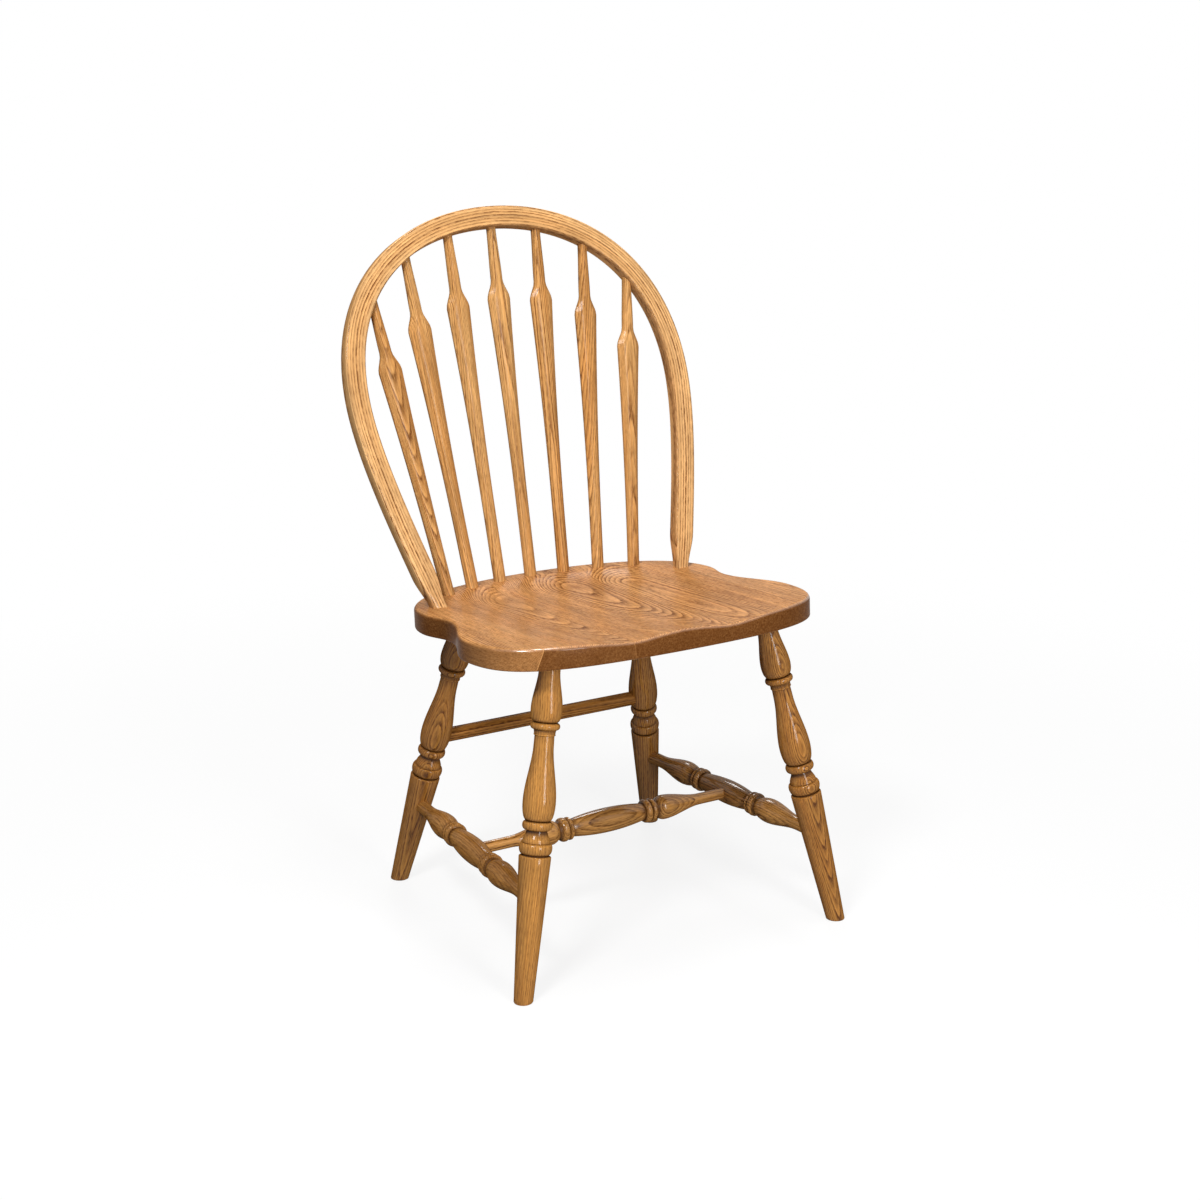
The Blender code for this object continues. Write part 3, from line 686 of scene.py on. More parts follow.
@dataclass
class Turning:
    """Profile of a turned piece, cut from its top end downwards and then spun round its axis.

    Attributes:
        stations: Heights and diameters, from the top down.
        fine: Usual distance between stations on a curve.
        coarse: Usual distance between stations on a cone or cylinder.
        fewest: Least number of stations on a curve.
        bead_detail: How many times more stations a bead has.
        bead_fullness: How full a bead is: below 1 it is fuller than an ellipse.
        look: Step at which the widths near a place are compared with its own.
        look_steps: Number of those steps to each side.
        groove_depth: How much narrower than its surroundings a groove is where its painted shade is full.
    """

    stations: list[Station]
    fine: float = 0.0016
    coarse: float = 0.012
    fewest: int = 5
    bead_detail: float = 1.4
    bead_fullness: float = 0.8
    look: float = 0.0015
    look_steps: int = 5
    groove_depth: float = 0.0056

    def _steps(self, length: float) -> int:
        """Number of stations on a curve of some length."""
        return max(self.fewest, round(length / self.fine))

    def _cut(self, length: float, diameter: float, steps: int, form: Callable[[float], float],
             run: Callable[[float], float] = float) -> "Turning":
        """Cut a curve down from the last station.

        Args:
            length: Height of the curve.
            diameter: Diameter that it goes to.
            steps: Number of new stations.
            form: Share of the way to that diameter, at a share of the curve.
            run: Share of the length that is done, at a share of the curve.

        Returns:
            The turning itself, for the next cut.
        """
        height, start = self.stations[-1]
        for share in (i / steps for i in range(1, steps + 1)):
            self.stations.append((height - length * run(share), blend(start, diameter, form(share))))
        return self

    def straight(self, length: float, diameter: float) -> "Turning":
        """Cone or cylinder down to a diameter."""
        return self._cut(length, diameter, max(1, round(length / self.coarse)), float)

    def swell(self, length: float, diameter: float) -> "Turning":
        """S curve to a diameter, level at both ends."""
        return self._cut(length, diameter, self._steps(length / 2), ease)

    def shoulder(self, length: float, diameter: float) -> "Turning":
        """Quarter ellipse that rounds over into a narrower groove."""
        return self._cut(length, diameter, self._steps(length), dip, climb)

    def bulge(self, length: float, diameter: float) -> "Turning":
        """Taper that is level at first and falls away ever faster."""
        return self._cut(length, diameter, self._steps(length / 2), lambda share: share ** 2)

    def rise(self, length: float, diameter: float) -> "Turning":
        """Quarter ellipse that rises steeply out of a groove and ends level."""
        return self._cut(length, diameter, self._steps(length), climb, dip)

    def bead(self, length: float, diameter: float) -> "Turning":
        """Half ellipse that stands out from the last diameter, or is sunk into it.

        Args:
            length: Height of the bead.
            diameter: Diameter of its middle.

        Returns:
            The turning itself, for the next cut.
        """
        return self._cut(length, diameter, self._steps(length * self.bead_detail),
                         lambda share: max(math.sin(math.pi * share), 0.0) ** self.bead_fullness,
                         lambda share: (1.0 - math.cos(math.pi * share)) / 2)

    def sweep(self, length: float, diameter: float) -> "Turning":
        """Taper that is quick at first and dies away to a diameter."""
        return self._cut(length, diameter, self._steps(length), lambda share: 1.0 - (1.0 - share) ** 2)

    def width_at(self, height: float) -> float:
        """Diameter at a height, held level past the ends.

        Args:
            height: The height.

        Returns:
            The diameter.
        """
        rising = self.stations[::-1]
        place = bisect_right([station[0] for station in rising], height)
        if place in (0, len(rising)):
            return rising[min(place, len(rising) - 1)][1]
        (low, narrow), (high, wide) = rising[place - 1], rising[place]
        return blend(narrow, wide, (height - low) / (high - low)) if high > low else wide

    def recess_at(self, height: float) -> float:
        """How far a height lies down in a groove, from 0 to 1, which sets how much shade is painted there.

        Args:
            height: The height.

        Returns:
            0 on a plain stretch and 1 in a full groove.
        """
        steps = range(-self.look_steps, self.look_steps + 1)
        around = sum(self.width_at(height + step * self.look) for step in steps) / len(steps)
        return clamp((around - self.width_at(height)) / self.groove_depth)

    def spin(self, name: str, sides: int) -> Piece:
        """Spin the profile round local Z.

        Args:
            name: Name of the piece.
            sides: Steps of the spin.

        Returns:
            The closed piece, with the shade to be painted into its grooves marked.
        """
        top, bottom = self.stations[0], self.stations[-1]
        outline = [(top[0], 0.0), *self.stations, (bottom[0], 0.0)]
        Bench.clear()
        bpy.ops.mesh.primitive_plane_add(location=(0, 0, 0))
        piece = Bench.take(name)
        Bench.edit()
        bpy.ops.mesh.merge(type="CENTER")
        bpy.ops.transform.translate(value=(0, 0, top[0]))
        for (height, diameter), (lower, other) in zip(outline, outline[1:]):
            Bench.extrude((other - diameter) / 2, 0.0, lower - height)
        bpy.ops.mesh.select_all(action="SELECT")
        bpy.ops.mesh.spin(steps=sides, angle=2 * math.pi, center=(0, 0, 0), axis=(0, 0, 1))
        Bench.close()
        Bench.done()
        # Painted shade: each height is marked darker the deeper it lies in a groove.
        heights = {vertex.co.z for vertex in piece.data.vertices}
        recess = {height: self.recess_at(height) for height in heights}
        Bench.mark(piece, Mark.RECESS, lambda vertex: recess[vertex.co.z])
        return piece


@dataclass
class PlankSeat:
    """Scooped seat of five edge-glued boards, cut from one shaped plank.

    Each turn of the outline has its x and y and the reach of its curve before and after it. The pairs
    end_lean, front_zone, shine_forward and shine_up are a start and the range of the blend from it.
    """

    height: float = 0.4514
    pitch: float = math.radians(4.16)
    thickness: float = 0.0302
    top_round: float = 0.0056
    rim: float = 0.030
    low_round: float = 0.0024
    front_y: float = -0.264
    front_handle: float = 0.206
    rear_y: float = 0.179
    rear_handle: float = 0.150
    turns: Sequence[tuple[float, float, float, float]] = (
        (0.2595, -0.135, 0.097, 0.045), (0.2265, -0.020, 0.045, 0.018), (0.2375, 0.035, 0.018, 0.085))
    middle_y: float = -0.040
    inner_seam: float = 0.078
    outer_seam: float = 0.198
    outer_lean: float = 0.36
    inner_lean: float = -0.12
    scoop_depth: float = 0.011
    scoop_half_width: float = 0.205
    scoop_side_blend: float = 0.100
    scoop_rear_blend: float = 0.070
    scoop_middle_y: float = -0.050
    hollow_x: float = 0.078
    hollow_spread: float = 0.045
    hollow_depth: float = 0.006
    deck_margin: float = 0.012
    deck_soften: float = 0.010
    arc_rear_y: float = 0.1575
    arc_radius: float = 0.330
    round_steps: int = 360
    rings: int = 76
    finish: OakFinish = OakFinish("oak_seat", ring_gap=0.0016, wander=0.004, ring_strength=0.85,
                                  pale=(0.645, 0.311, 0.107), warm=(0.497, 0.218, 0.070),
                                  dark=(0.176, 0.058, 0.012), groove=(0.070, 0.022, 0.004), gloss=0.02,
                                  coat=0.10, coat_rim=0.03, coat_roughness=0.16, coat_ior=1.9)
    billets: Sequence[Billet] = (
        Billet(0.120, 62.0, 0.31, 0.010, 0.10), Billet(0.130, 116.0, 1.13, 0.030, 0.40),
        Billet(0.130, 105.0, 2.27, 0.030, 0.42), Billet(0.120, 81.0, 3.41, -0.014, 0.35),
        Billet(0.100, 104.0, 4.59, 0.020, 0.42))
    end_depths: Sequence[float] = (0.47, 0.95, 1.0, 1.0, 1.0)
    seam_shows: Sequence[float] = (0.85, 0.22, 0.12, 0.10)
    seam_line: float = 0.0014
    seam_on_top: float = 0.15
    end_lean: Station = (0.50, 0.45)
    front_zone: Station = (0.11, 0.06)
    shine_forward: Station = (0.20, 0.30)
    shine_up: Station = (0.30, 0.30)
    curve_steps: int = 120
    round_segments: int = 6
    side_lean: float = 0.4
    face_lean: float = 0.6
    smooth_degrees: float = 50.0

    @property
    def plane(self) -> Matrix:
        """Placement of the plank's top face."""
        return Matrix.Translation((0, 0, self.height)) @ Matrix.Rotation(-self.pitch, 4, "X")

    def point(self, x: float, y: float, drop: float = 0.0) -> Vector:
        """World point on the seat's top plane, or on the plane a given thickness below it."""
        lowered = self.height - drop / math.cos(self.pitch)
        return Vector((x, y, lowered - y * math.tan(self.pitch)))

    def outline(self) -> list[Vector]:
        """Outline of the plank, at equal steps round it.

        Returns:
            Points on the top plane, from the middle of the front round to the right.
        """
        front = Vector((0, self.front_y, 0))
        knots = [(front, front, front + Vector((self.front_handle, 0, 0)))]
        for x, y, before, after in self.turns:
            spot = Vector((x, y, 0))
            knots.append((spot, spot - Vector((0, before, 0)), spot + Vector((0, after, 0))))
        rear = Vector((0, self.rear_y, 0))
        knots.append((rear, rear + Vector((self.rear_handle, 0, 0)), rear))
        half = bezier_points(knots, self.curve_steps)
        loop = half + [Vector((-spot.x, spot.y, 0)) for spot in half[-2:0:-1]]
        return self._even(loop, self.round_steps)

    @staticmethod
    def _even(loop: list[Vector], count: int) -> list[Vector]:
        """Points at equal steps round a closed loop.

        Args:
            loop: Closely spaced points of the loop.
            count: Number of points wanted.

        Returns:
            The evenly spaced points.
        """
        runs = [0.0]
        for here, after in zip(loop, loop[1:] + loop[:1]):
            runs.append(runs[-1] + (after - here).length)
        points = []
        for i in range(count):
            run = runs[-1] * i / count
            place = min(bisect_right(runs, run) - 1, len(loop) - 1)
            share = (run - runs[place]) / (runs[place + 1] - runs[place])
            points.append(loop[place].lerp(loop[(place + 1) % len(loop)], share))
        return points

    def arc_y(self, x: float) -> float:
        """Place of the row of spindles on the seat, at a distance from the centre line."""
        return self.arc_rear_y - self.arc_radius + math.sqrt(max(self.arc_radius ** 2 - x * x, 0.0))

    def scoop(self, x: float, y: float) -> float:
        """Depth of the saddle: two hollows that run out through the front edge, and a ridge between.

        Args:
            x: Place across the seat.
            y: Place along the seat.

        Returns:
            Depth below the top plane.
        """
        side = ease((self.scoop_half_width - abs(x)) / self.scoop_side_blend)
        gap = self.arc_y(x) - self.deck_margin - y
        gap = (gap + math.sqrt(gap * gap + self.deck_soften ** 2)) / 2
        near = clamp(gap / self.scoop_rear_blend)
        hollow = math.exp(-((abs(x) - self.hollow_x) / self.hollow_spread) ** 2)
        forward = clamp((self.scoop_middle_y - y) / (self.scoop_middle_y - self.front_y))
        deepest = blend(self.scoop_depth * side, self.hollow_depth * hollow, forward * forward)
        return deepest * (1.0 - (1.0 - near) ** 2)

    def plank(self) -> Piece:
        """Shape the whole plank on its own top plane.

        Returns:
            The closed plank, with its edges rounded.
        """
        Bench.clear()
        bpy.ops.mesh.primitive_circle_add(vertices=self.round_steps, radius=1.0, fill_type="NOTHING")
        piece = Bench.take("seat_plank")
        for vertex, spot in zip(piece.data.vertices, self.outline()):
            vertex.co = spot
        middle = (0.0, self.middle_y, 0.0)
        Bench.edit()
        sizes = [1.0] + [(1.0 - self.rim) * ring / self.rings for ring in range(self.rings, 0, -1)]
        for size, inner in zip(sizes, sizes[1:]):
            share = inner / size
            Bench.extrude(0, 0, 0)
            bpy.ops.transform.resize(value=(share, share, 1), center_override=middle)
        bpy.ops.mesh.edge_face_add()
        bpy.ops.mesh.poke()
        bpy.ops.mesh.select_all(action="SELECT")
        Bench.extrude(0, 0, -self.thickness)
        Bench.close()
        Bench.done()
        for vertex in piece.data.vertices:
            if vertex.co.z > -self.thickness / 2:
                vertex.co.z = -self.scoop(vertex.co.x, vertex.co.y)
        self._round(piece, 1, self.top_round)
        self._round(piece, -1, self.low_round)
        return piece

    def _round(self, piece: Piece, face: int, radius: float) -> None:
        """Round the plank over along its top or bottom edge.

        Args:
            piece: The plank.
            face: 1 for the top edge and -1 for the bottom one.
            radius: Radius of the rounding.
        """
        def on_rim(edge: bmesh.types.BMEdge) -> bool:
            """Whether an edge lies between that face and the plank's side.

            Args:
                edge: An edge of the plank.

            Returns:
                True for an edge to round over.
            """
            leans = sorted(abs(side.normal.z) for side in edge.link_faces)
            level = sum(corner.co.z for corner in edge.verts) / 2
            if len(leans) != 2 or (level > -self.thickness / 2) != (face > 0):
                return False
            return leans[0] < self.side_lean and leans[1] > self.face_lean

        Bench.hold(piece)
        Bench.edit()
        Bench.pick_edges(piece, on_rim)
        bpy.ops.mesh.bevel(offset=radius, offset_type="OFFSET", segments=self.round_segments, profile=0.5,
                           affect="EDGES", clamp_overlap=False)
        bpy.ops.mesh.select_mode(type="VERT")
        Bench.done()

    def seams(self) -> list[tuple[Vector, Vector]]:
        """Point on each seam's plane and the direction to the right of it, from left to right.

        Returns:
            A point and a direction for each seam.
        """
        places = ((-self.outer_seam, -self.outer_lean), (-self.inner_seam, -self.inner_lean),
                  (self.inner_seam, self.inner_lean), (self.outer_seam, self.outer_lean))
        return [(Vector((x, 0, 0)), Vector((1, 0, lean)).normalized()) for x, lean in places]

    def board(self, plank: Piece, number: int) -> Piece:
        """Cut one board from a copy of the plank.

        Args:
            plank: The whole plank.
            number: Place of the board, from 0 at the left.

        Returns:
            The board, with a row of edges beside the seam on its right.
        """
        seams = self.seams()
        board = Bench.copy(plank, f"seat_board_{number + 1}_oak")
        if number > 0:
            joint, right = seams[number - 1]
            Bench.cut(board, joint, -right)
            Bench.done()
        if number < len(seams):
            joint, right = seams[number]
            Bench.cut(board, joint, right)
            bpy.ops.mesh.select_all(action="SELECT")
            bpy.ops.mesh.bisect(plane_co=joint - right * self.seam_line, plane_no=right, threshold=FINE)
            Bench.done()
        Bench.smooth(board, self.smooth_degrees)
        return board

    def at_front(self, vertex: Vertex) -> float:
        """How far a vertex belongs to the seat's front."""
        return past(-vertex.co.y, *self.front_zone)

    def shine(self, vertex: Vertex) -> float:
        """How far a vertex lies on the rounding of the front edge."""
        forward = past(-vertex.normal.y, *self.shine_forward)
        return forward * past(vertex.normal.z, *self.shine_up) * self.at_front(vertex)

    def mark(self, board: Piece, number: int) -> None:
        """Write a board's grain, end grain, shine and right seam on it.

        Args:
            board: The board, still where the plank was shaped.
            number: Place of the board, from 0 at the left.
        """
        middle = sum(corner[0] for corner in board.bound_box) / len(board.bound_box)
        upright = Matrix.Rotation(-math.pi / 2, 4, "X")
        self.billets[number].stamp(board, upright @ Matrix.Translation((-middle, 0, 0)))
        deep = self.end_depths[number]
        Bench.mark(board, Mark.END, lambda vertex: blend(1.0, deep, self.at_front(vertex)) * past(
            vertex.normal.xy.length, *self.end_lean))
        Bench.mark(board, Mark.SHEEN, self.shine)
        if number < len(self.seam_shows):
            joint, right = self.seams()[number]
            shows = self.seam_shows[number]
            Bench.mark(board, Mark.SEAM, lambda vertex: shows * clamp(
                (1.0 + right.dot(vertex.co - joint) / self.seam_line)
                * (self.seam_on_top + vertex.normal.xy.length)))

    def build(self) -> None:
        """Cut the boards from the plank, mark their wood and dress them."""
        plank = self.plank()
        finish = self.finish.material()
        for number in range(len(self.billets)):
            board = self.board(plank, number)
            self.mark(board, number)
            Bench.place(board, self.plane)
            self.finish.dress(board, finish)
        Bench.scrap(plank)


@dataclass
class BentBow:
    """Bow bent from one straight bar, with both feet in the seat."""

    seat: PlankSeat
    seat_y: float = 0.060
    rake: float = math.radians(22.7)
    width: float = 0.030
    depth: float = 0.021
    corner: float = 0.0030
    foot_width: float = 0.0210
    foot_taper: float = 0.050
    tenon: float = 0.016
    foot_x: float = 0.200
    foot_spread: float = 0.27
    foot_handle: float = 0.110
    widest_x: float = 0.2605
    widest_run: float = 0.298
    low_handle: float = 0.081
    high_handle: float = 0.162
    top_run: float = 0.545
    top_handle: float = 0.144
    foot_square: float = 0.35
    stations: int = 210
    corner_segments: int = 5
    curve_steps: int = 100
    path_steps: int = 64
    smooth_degrees: float = 45.0
    finish: OakFinish = OakFinish("oak_bow", ring_gap=0.0046, wander=0.005, ring_strength=1.0,
                                  pore_strength=0.40, pale=(0.765, 0.445, 0.188),
                                  warm=(0.645, 0.332, 0.117), dark=(0.165, 0.058, 0.014), coat=0.24)
    billet: Billet = Billet(0.110, 82.0, 7.3, 0.0, 0.35)

    @property
    def plane(self) -> Matrix:
        """Placement of the plane that the bow is bent in."""
        return Matrix.Translation(self.seat.point(0, self.seat_y)) @ Matrix.Rotation(-self.rake, 4, "X")

    def knots(self) -> list[Knot]:
        """Centre line as Bezier knots from the left foot to the right one.

        Returns:
            Each knot's place and its two handles.
        """
        rise = Vector((self.foot_spread, 0, 1)).normalized() * self.foot_handle
        foot = Vector((self.foot_x, 0, 0))
        wide = Vector((self.widest_x, 0, self.widest_run))
        top = Vector((0, 0, self.top_run))
        right = [(top, top - Vector((self.top_handle, 0, 0)), top + Vector((self.top_handle, 0, 0))),
                 (wide, wide + Vector((0, 0, self.high_handle)), wide - Vector((0, 0, self.low_handle))),
                 (foot, foot + rise, foot - rise)]
        flip = Matrix.Diagonal((-1, 1, 1))
        left = [(flip @ spot, flip @ after, flip @ before) for spot, before, after in right[:0:-1]]
        return left + right

    def line(self) -> list[Vector]:
        """Centre line as close points, from the left foot to the right one."""
        return bezier_points(self.knots(), self.curve_steps)

    def at(self, distance: float) -> Vector:
        """World point on the bow at a distance from its top, to the right where it is positive.

        Args:
            distance: Distance along the centre line.

        Returns:
            The point.
        """
        points = self.line()
        half = points[len(points) // 2:]
        left = abs(distance)
        for here, after in zip(half, half[1:]):
            step = (after - here).length
            if left <= step:
                spot = here.lerp(after, left / step)
                return self.plane @ Vector((math.copysign(spot.x, distance), 0, spot.z))
            left -= step
        return self.plane @ half[-1]

    def bar(self, length: float) -> Piece:
        """Straight bar before it is bent, along local Z, with feet that taper to a rounder section.

        Its width lies along local Y, which the bend keeps in the bow's plane.

        Args:
            length: Length of the centre line between the feet.

        Returns:
            The bar.
        """
        Bench.clear()
        bpy.ops.mesh.primitive_plane_add(size=1.0, location=(0, 0, 0))
        piece = Bench.take("bow_oak")
        Bench.edit()
        bpy.ops.transform.resize(value=(self.depth, self.width, 1))
        bpy.ops.mesh.bevel(offset=self.corner, segments=self.corner_segments, affect="VERTICES")
        bpy.ops.transform.translate(value=(0, 0, -self.tenon))
        step = (length + 2 * self.tenon) / self.stations
        for _ in range(self.stations):
            Bench.extrude(0, 0, step)
        Bench.close()
        Bench.done()
        for vertex in piece.data.vertices:
            run = min(vertex.co.z, length - vertex.co.z)
            share = ease(run / self.foot_taper)
            ray = Vector((vertex.co.x / self.depth, vertex.co.y / self.width, 0)).normalized()
            square = Vector((vertex.co.x, vertex.co.y * self.foot_width / self.width, 0))
            foot = (ray * self.foot_width / 2).lerp(square, self.foot_square)
            vertex.co.x = blend(foot.x, vertex.co.x, share)
            vertex.co.y = blend(foot.y, vertex.co.y, share)
        return piece

    def build(self) -> None:
        """Bend the bar along the centre line, and dress it."""
        points = self.line()
        length = sum((after - here).length for here, after in zip(points, points[1:]))
        bow = self.bar(length)
        self.billet.stamp(bow)
        path = bpy.data.curves.new("bow_line", "CURVE")
        path.dimensions = "3D"
        path.twist_mode = "MINIMUM"
        path.resolution_u = self.path_steps
        spline = path.splines.new("BEZIER")
        knots = self.knots()
        spline.bezier_points.add(len(knots) - 1)
        for point, (spot, before, after) in zip(spline.bezier_points, knots):
            point.co, point.handle_left, point.handle_right = spot, before, after
        guide = bpy.data.objects.new("bow_line", path)
        bpy.context.scene.collection.objects.link(guide)
        Bench.hold(bow)
        bend = bow.modifiers.new("bend", "CURVE")
        bend.object = guide
        bend.deform_axis = "POS_Z"
        bpy.ops.object.modifier_apply(modifier=bend.name)
        bpy.data.objects.remove(guide)
        Bench.smooth(bow, self.smooth_degrees)
        Bench.place(bow, self.plane)
        self.finish.dress(bow, self.finish.material())


@dataclass
class ArrowSpindles:
    """Seven arrow spindles, fanned between an arc on the seat and steps along the bow."""

    seat: PlankSeat
    bow: BentBow
    side_count: int = 3
    arc_step: float = math.radians(9.3)
    bow_step: float = 0.0731
    bow_step_gain: float = 0.0059
    neck_width: float = 0.0138
    throat_width: float = 0.0180
    shoulder_width: float = 0.0352
    shaft_width: float = 0.0185
    neck_length: float = 0.018
    throat_length: float = 0.072
    flare_length: float = 0.028
    taper_length: float = 0.320
    thickness: float = 0.0145
    reach: float = 0.640
    facet_edge: float = 0.0020
    facet_blend: float = 0.006
    above_line: float = 0.004
    below_deck: float = 0.003
    sides: int = 36
    curve_gap: float = 0.003
    smooth_degrees: float = 45.0
    finish: OakFinish = OakFinish("oak_spindle", ring_gap=0.0042, wander=0.009, ring_strength=1.1,
                                  pale=(0.700, 0.384, 0.139), warm=(0.548, 0.257, 0.075),
                                  dark=(0.150, 0.050, 0.011), coat=0.17, coat_roughness=0.18)
    billets: Sequence[Billet] = (
        Billet(0.030, 92.0, 0.2, -0.036, 0.70, 1.0, 3.4), Billet(0.060, 22.0, 1.4, 0.010, 0.45, 0.75, 2.0),
        Billet(0.045, 18.0, 2.6, -0.030, 0.40, 0.78, 1.9), Billet(0.050, 84.0, 3.3, 0.010, 0.30, 0.85, 2.4),
        Billet(0.038, 62.0, 4.9, 0.012, 0.62, 0.82, 2.2), Billet(0.060, 12.0, 5.1, -0.110, 0.62, 0.72, 1.1),
        Billet(0.040, 88.0, 6.7, 0.026, 0.55, 0.75, 2.8))

    def profile(self) -> Turning:
        """Heights and widths of a spindle below the middle of the bow.

        Returns:
            The profile.
        """
        start = Turning([(self.above_line, self.neck_width)], self.curve_gap)
        start.straight(self.above_line + self.neck_length, self.neck_width)
        start.swell(self.throat_length, self.throat_width)
        start.swell(self.flare_length, self.shoulder_width)
        start.sweep(self.taper_length, self.shaft_width)
        return start.straight(self.reach + start.stations[-1][0], self.shaft_width)

    def master(self) -> Piece:
        """One long spindle along local Z, round at the top and flat front and back below.

        Returns:
            The spindle that the others are copied from.
        """
        profile = self.profile()
        stations = profile.stations
        Bench.clear()
        bpy.ops.mesh.primitive_circle_add(vertices=self.sides, radius=stations[0][1] / 2, fill_type="NGON",
                                          location=(0, 0, stations[0][0]))
        piece = Bench.take("spindle_master")
        bpy.ops.object.transform_apply(location=True)
        Bench.edit()
        half_step = math.pi / self.sides
        bpy.ops.transform.rotate(value=half_step, orient_axis="Z", center_override=(0, 0, 0))
        for (height, width), (lower, other) in zip(stations, stations[1:]):
            share = min(other, self.thickness) / min(width, self.thickness)
            Bench.extrude(0, 0, lower - height)
            bpy.ops.transform.resize(value=(share, share, 1), center_override=(0, 0, lower))
        Bench.close()
        Bench.done()
        radius = self.thickness / 2
        for vertex in piece.data.vertices:
            spread = max(profile.width_at(vertex.co.z) - self.thickness, 0.0) / 2
            flat = ease(spread / self.facet_blend)
            chamfer = radius * min(1.0, (radius - abs(vertex.co.y)) / (radius - self.facet_edge))
            side = blend(abs(vertex.co.x), max(chamfer, 0.0), flat)
            vertex.co.x = math.copysign(spread + side, vertex.co.x)
        return piece

    def build(self) -> None:
        """Copy the spindle to its seven places, cut each to the deck and dress it."""
        master = self.master()
        finish = self.finish.material()
        up = (self.seat.plane.to_3x3() @ Vector((0, 0, 1))).normalized()
        for place, billet in zip(range(-self.side_count, self.side_count + 1), self.billets):
            x = self.seat.arc_radius * math.sin(place * self.arc_step)
            base = self.seat.point(x, self.seat.arc_y(x))
            count = abs(place)
            run = count * self.bow_step + count * (count - 1) / 2 * self.bow_step_gain
            top = self.bow.at(math.copysign(run, place))
            spindle = Bench.copy(master, f"spindle_{place + self.side_count + 1}_oak")
            billet.stamp(spindle)
            Bench.place(spindle, aligned(top, top - base))
            Bench.cut(spindle, base - up * self.below_deck, -up)
            Bench.done()
            Bench.smooth(spindle, self.smooth_degrees)
            self.finish.dress(spindle, finish)
        Bench.scrap(master)


@dataclass
class TurnedLegs:
    """Four splayed legs, turned with vases, rings and a bulb above a plain taper.

    The pairs of foot and top are x and y. The others are the length of a cut and the diameter at its end.
    """

    seat: PlankSeat
    foot: dict[Row, Station] = field(default_factory=lambda: {
        Row.FRONT: (0.2536, -0.2732), Row.REAR: (0.219, 0.1715)})
    top: dict[Row, Station] = field(default_factory=lambda: {
        Row.FRONT: (0.170, -0.203), Row.REAR: (0.1435, 0.0895)})
    neck: Station = (0.010, 0.0284)
    swell: Station = (0.0525, 0.0418)
    swell_shoulder: Station = (0.016, 0.0304)
    ring: Station = (0.0094, 0.0394)
    collar: Station = (0.0046, 0.0284)
    lip: Station = (0.0018, 0.0290)
    waist: Station = (0.0115, 0.0268)
    vase: Station = (0.076, 0.0438)
    vase_shoulder: Station = (0.024, 0.0318)
    low_ring: Station = (0.0118, 0.0402)
    low_cove: Station = (0.0158, 0.0376)
    low_neck: float = 0.0272
    bulb: Station = (0.0056, 0.0442)
    bulb_shoulder: float = 0.0090
    quirk: Station = (0.0008, 0.0350)
    lip_round: float = 0.0024
    taper_width: float = 0.0430
    foot_width: float = 0.0258
    foot_round: float = 0.0014
    foot_segments: int = 2
    nick_length: float = 0.0006
    fine_nick: float = 0.0006
    ring_nick: float = 0.0014
    bulb_nick: float = 0.0018
    lip_step: float = 0.0008
    bulb_step: float = 0.0012
    quirk_step: float = 0.0010
    in_seat: float = 0.008
    spare: float = 0.020
    sides: int = 56
    smooth_degrees: float = 38.0
    finish: OakFinish = OakFinish("oak_leg", ring_gap=0.0044, wander=0.008, ring_strength=0.85,
                                  pale=(0.525, 0.240, 0.053), warm=(0.412, 0.168, 0.032),
                                  dark=(0.105, 0.032, 0.006))
    billets: dict[str, Billet] = field(default_factory=lambda: {
        "leg_front_left": Billet(0.055, 156.0, 0.4, 0.012, 0.26, 0.62, 1.6),
        "leg_front_right": Billet(0.040, 84.0, 1.9, -0.020, 0.40, 1.20, 2.2),
        "leg_rear_left": Billet(0.044, 60.0, 2.8, 0.012, 0.50, 1.0, 1.6),
        "leg_rear_right": Billet(0.052, 150.0, 3.6, 0.012, 0.30, 0.9, 1.4)})

    def axis(self, row: Row, side: Side) -> tuple[Vector, Vector]:
        """Places where a leg's axis meets the floor and the underside of the seat.

        Args:
            row: Row of the leg.
            side: Side of the leg.

        Returns:
            The place on the floor and the place under the seat.
        """
        foot_x, foot_y = self.foot[row]
        top_x, top_y = self.top[row]
        foot = Vector((side.value * foot_x, foot_y, 0))
        return foot, self.seat.point(side.value * top_x, top_y, self.seat.thickness)

    def on_axis(self, row: Row, side: Side, height: float) -> Vector:
        """Point at a height on a leg's axis."""
        foot, top = self.axis(row, side)
        return foot.lerp(top, height / top.z)

    def profile(self, length: float) -> Turning:
        """Turning of a leg from inside the seat to below the floor.

        Args:
            length: Length of the axis from the floor to the underside of the seat.

        Returns:
            The profile.
        """
        nick = self.nick_length
        cut = Turning([(self.in_seat, self.neck[1])])
        cut.straight(self.in_seat + self.neck[0], self.neck[1])
        cut.swell(*self.swell).shoulder(*self.swell_shoulder)
        cut.straight(nick, self.swell_shoulder[1] - self.ring_nick).bead(*self.ring)
        cut.straight(nick, self.lip[1] + self.lip_step).sweep(*self.collar)
        cut.straight(nick, self.collar[1] - self.fine_nick).bead(*self.lip)
        cut.straight(nick, self.waist[1] - self.fine_nick).straight(*self.waist)
        cut.swell(*self.vase).shoulder(*self.vase_shoulder)
        cut.straight(nick, self.vase_shoulder[1] - self.ring_nick).bead(*self.low_ring)
        cut.straight(nick, self.low_neck).swell(*self.low_cove)
        cut.straight(nick, self.low_cove[1] - self.bulb_nick)
        cut.straight(nick, self.low_cove[1] + self.bulb_step).rise(*self.bulb)
        cut.shoulder(self.bulb_shoulder, self.quirk[1] + self.quirk_step)
        cut.straight(nick, self.quirk[1]).straight(*self.quirk)
        cut.rise(self.lip_round, self.taper_width)
        left = length + cut.stations[-1][0]
        end = blend(self.taper_width, self.foot_width, (left + self.spare) / left)
        return cut.straight(left + self.spare, end)

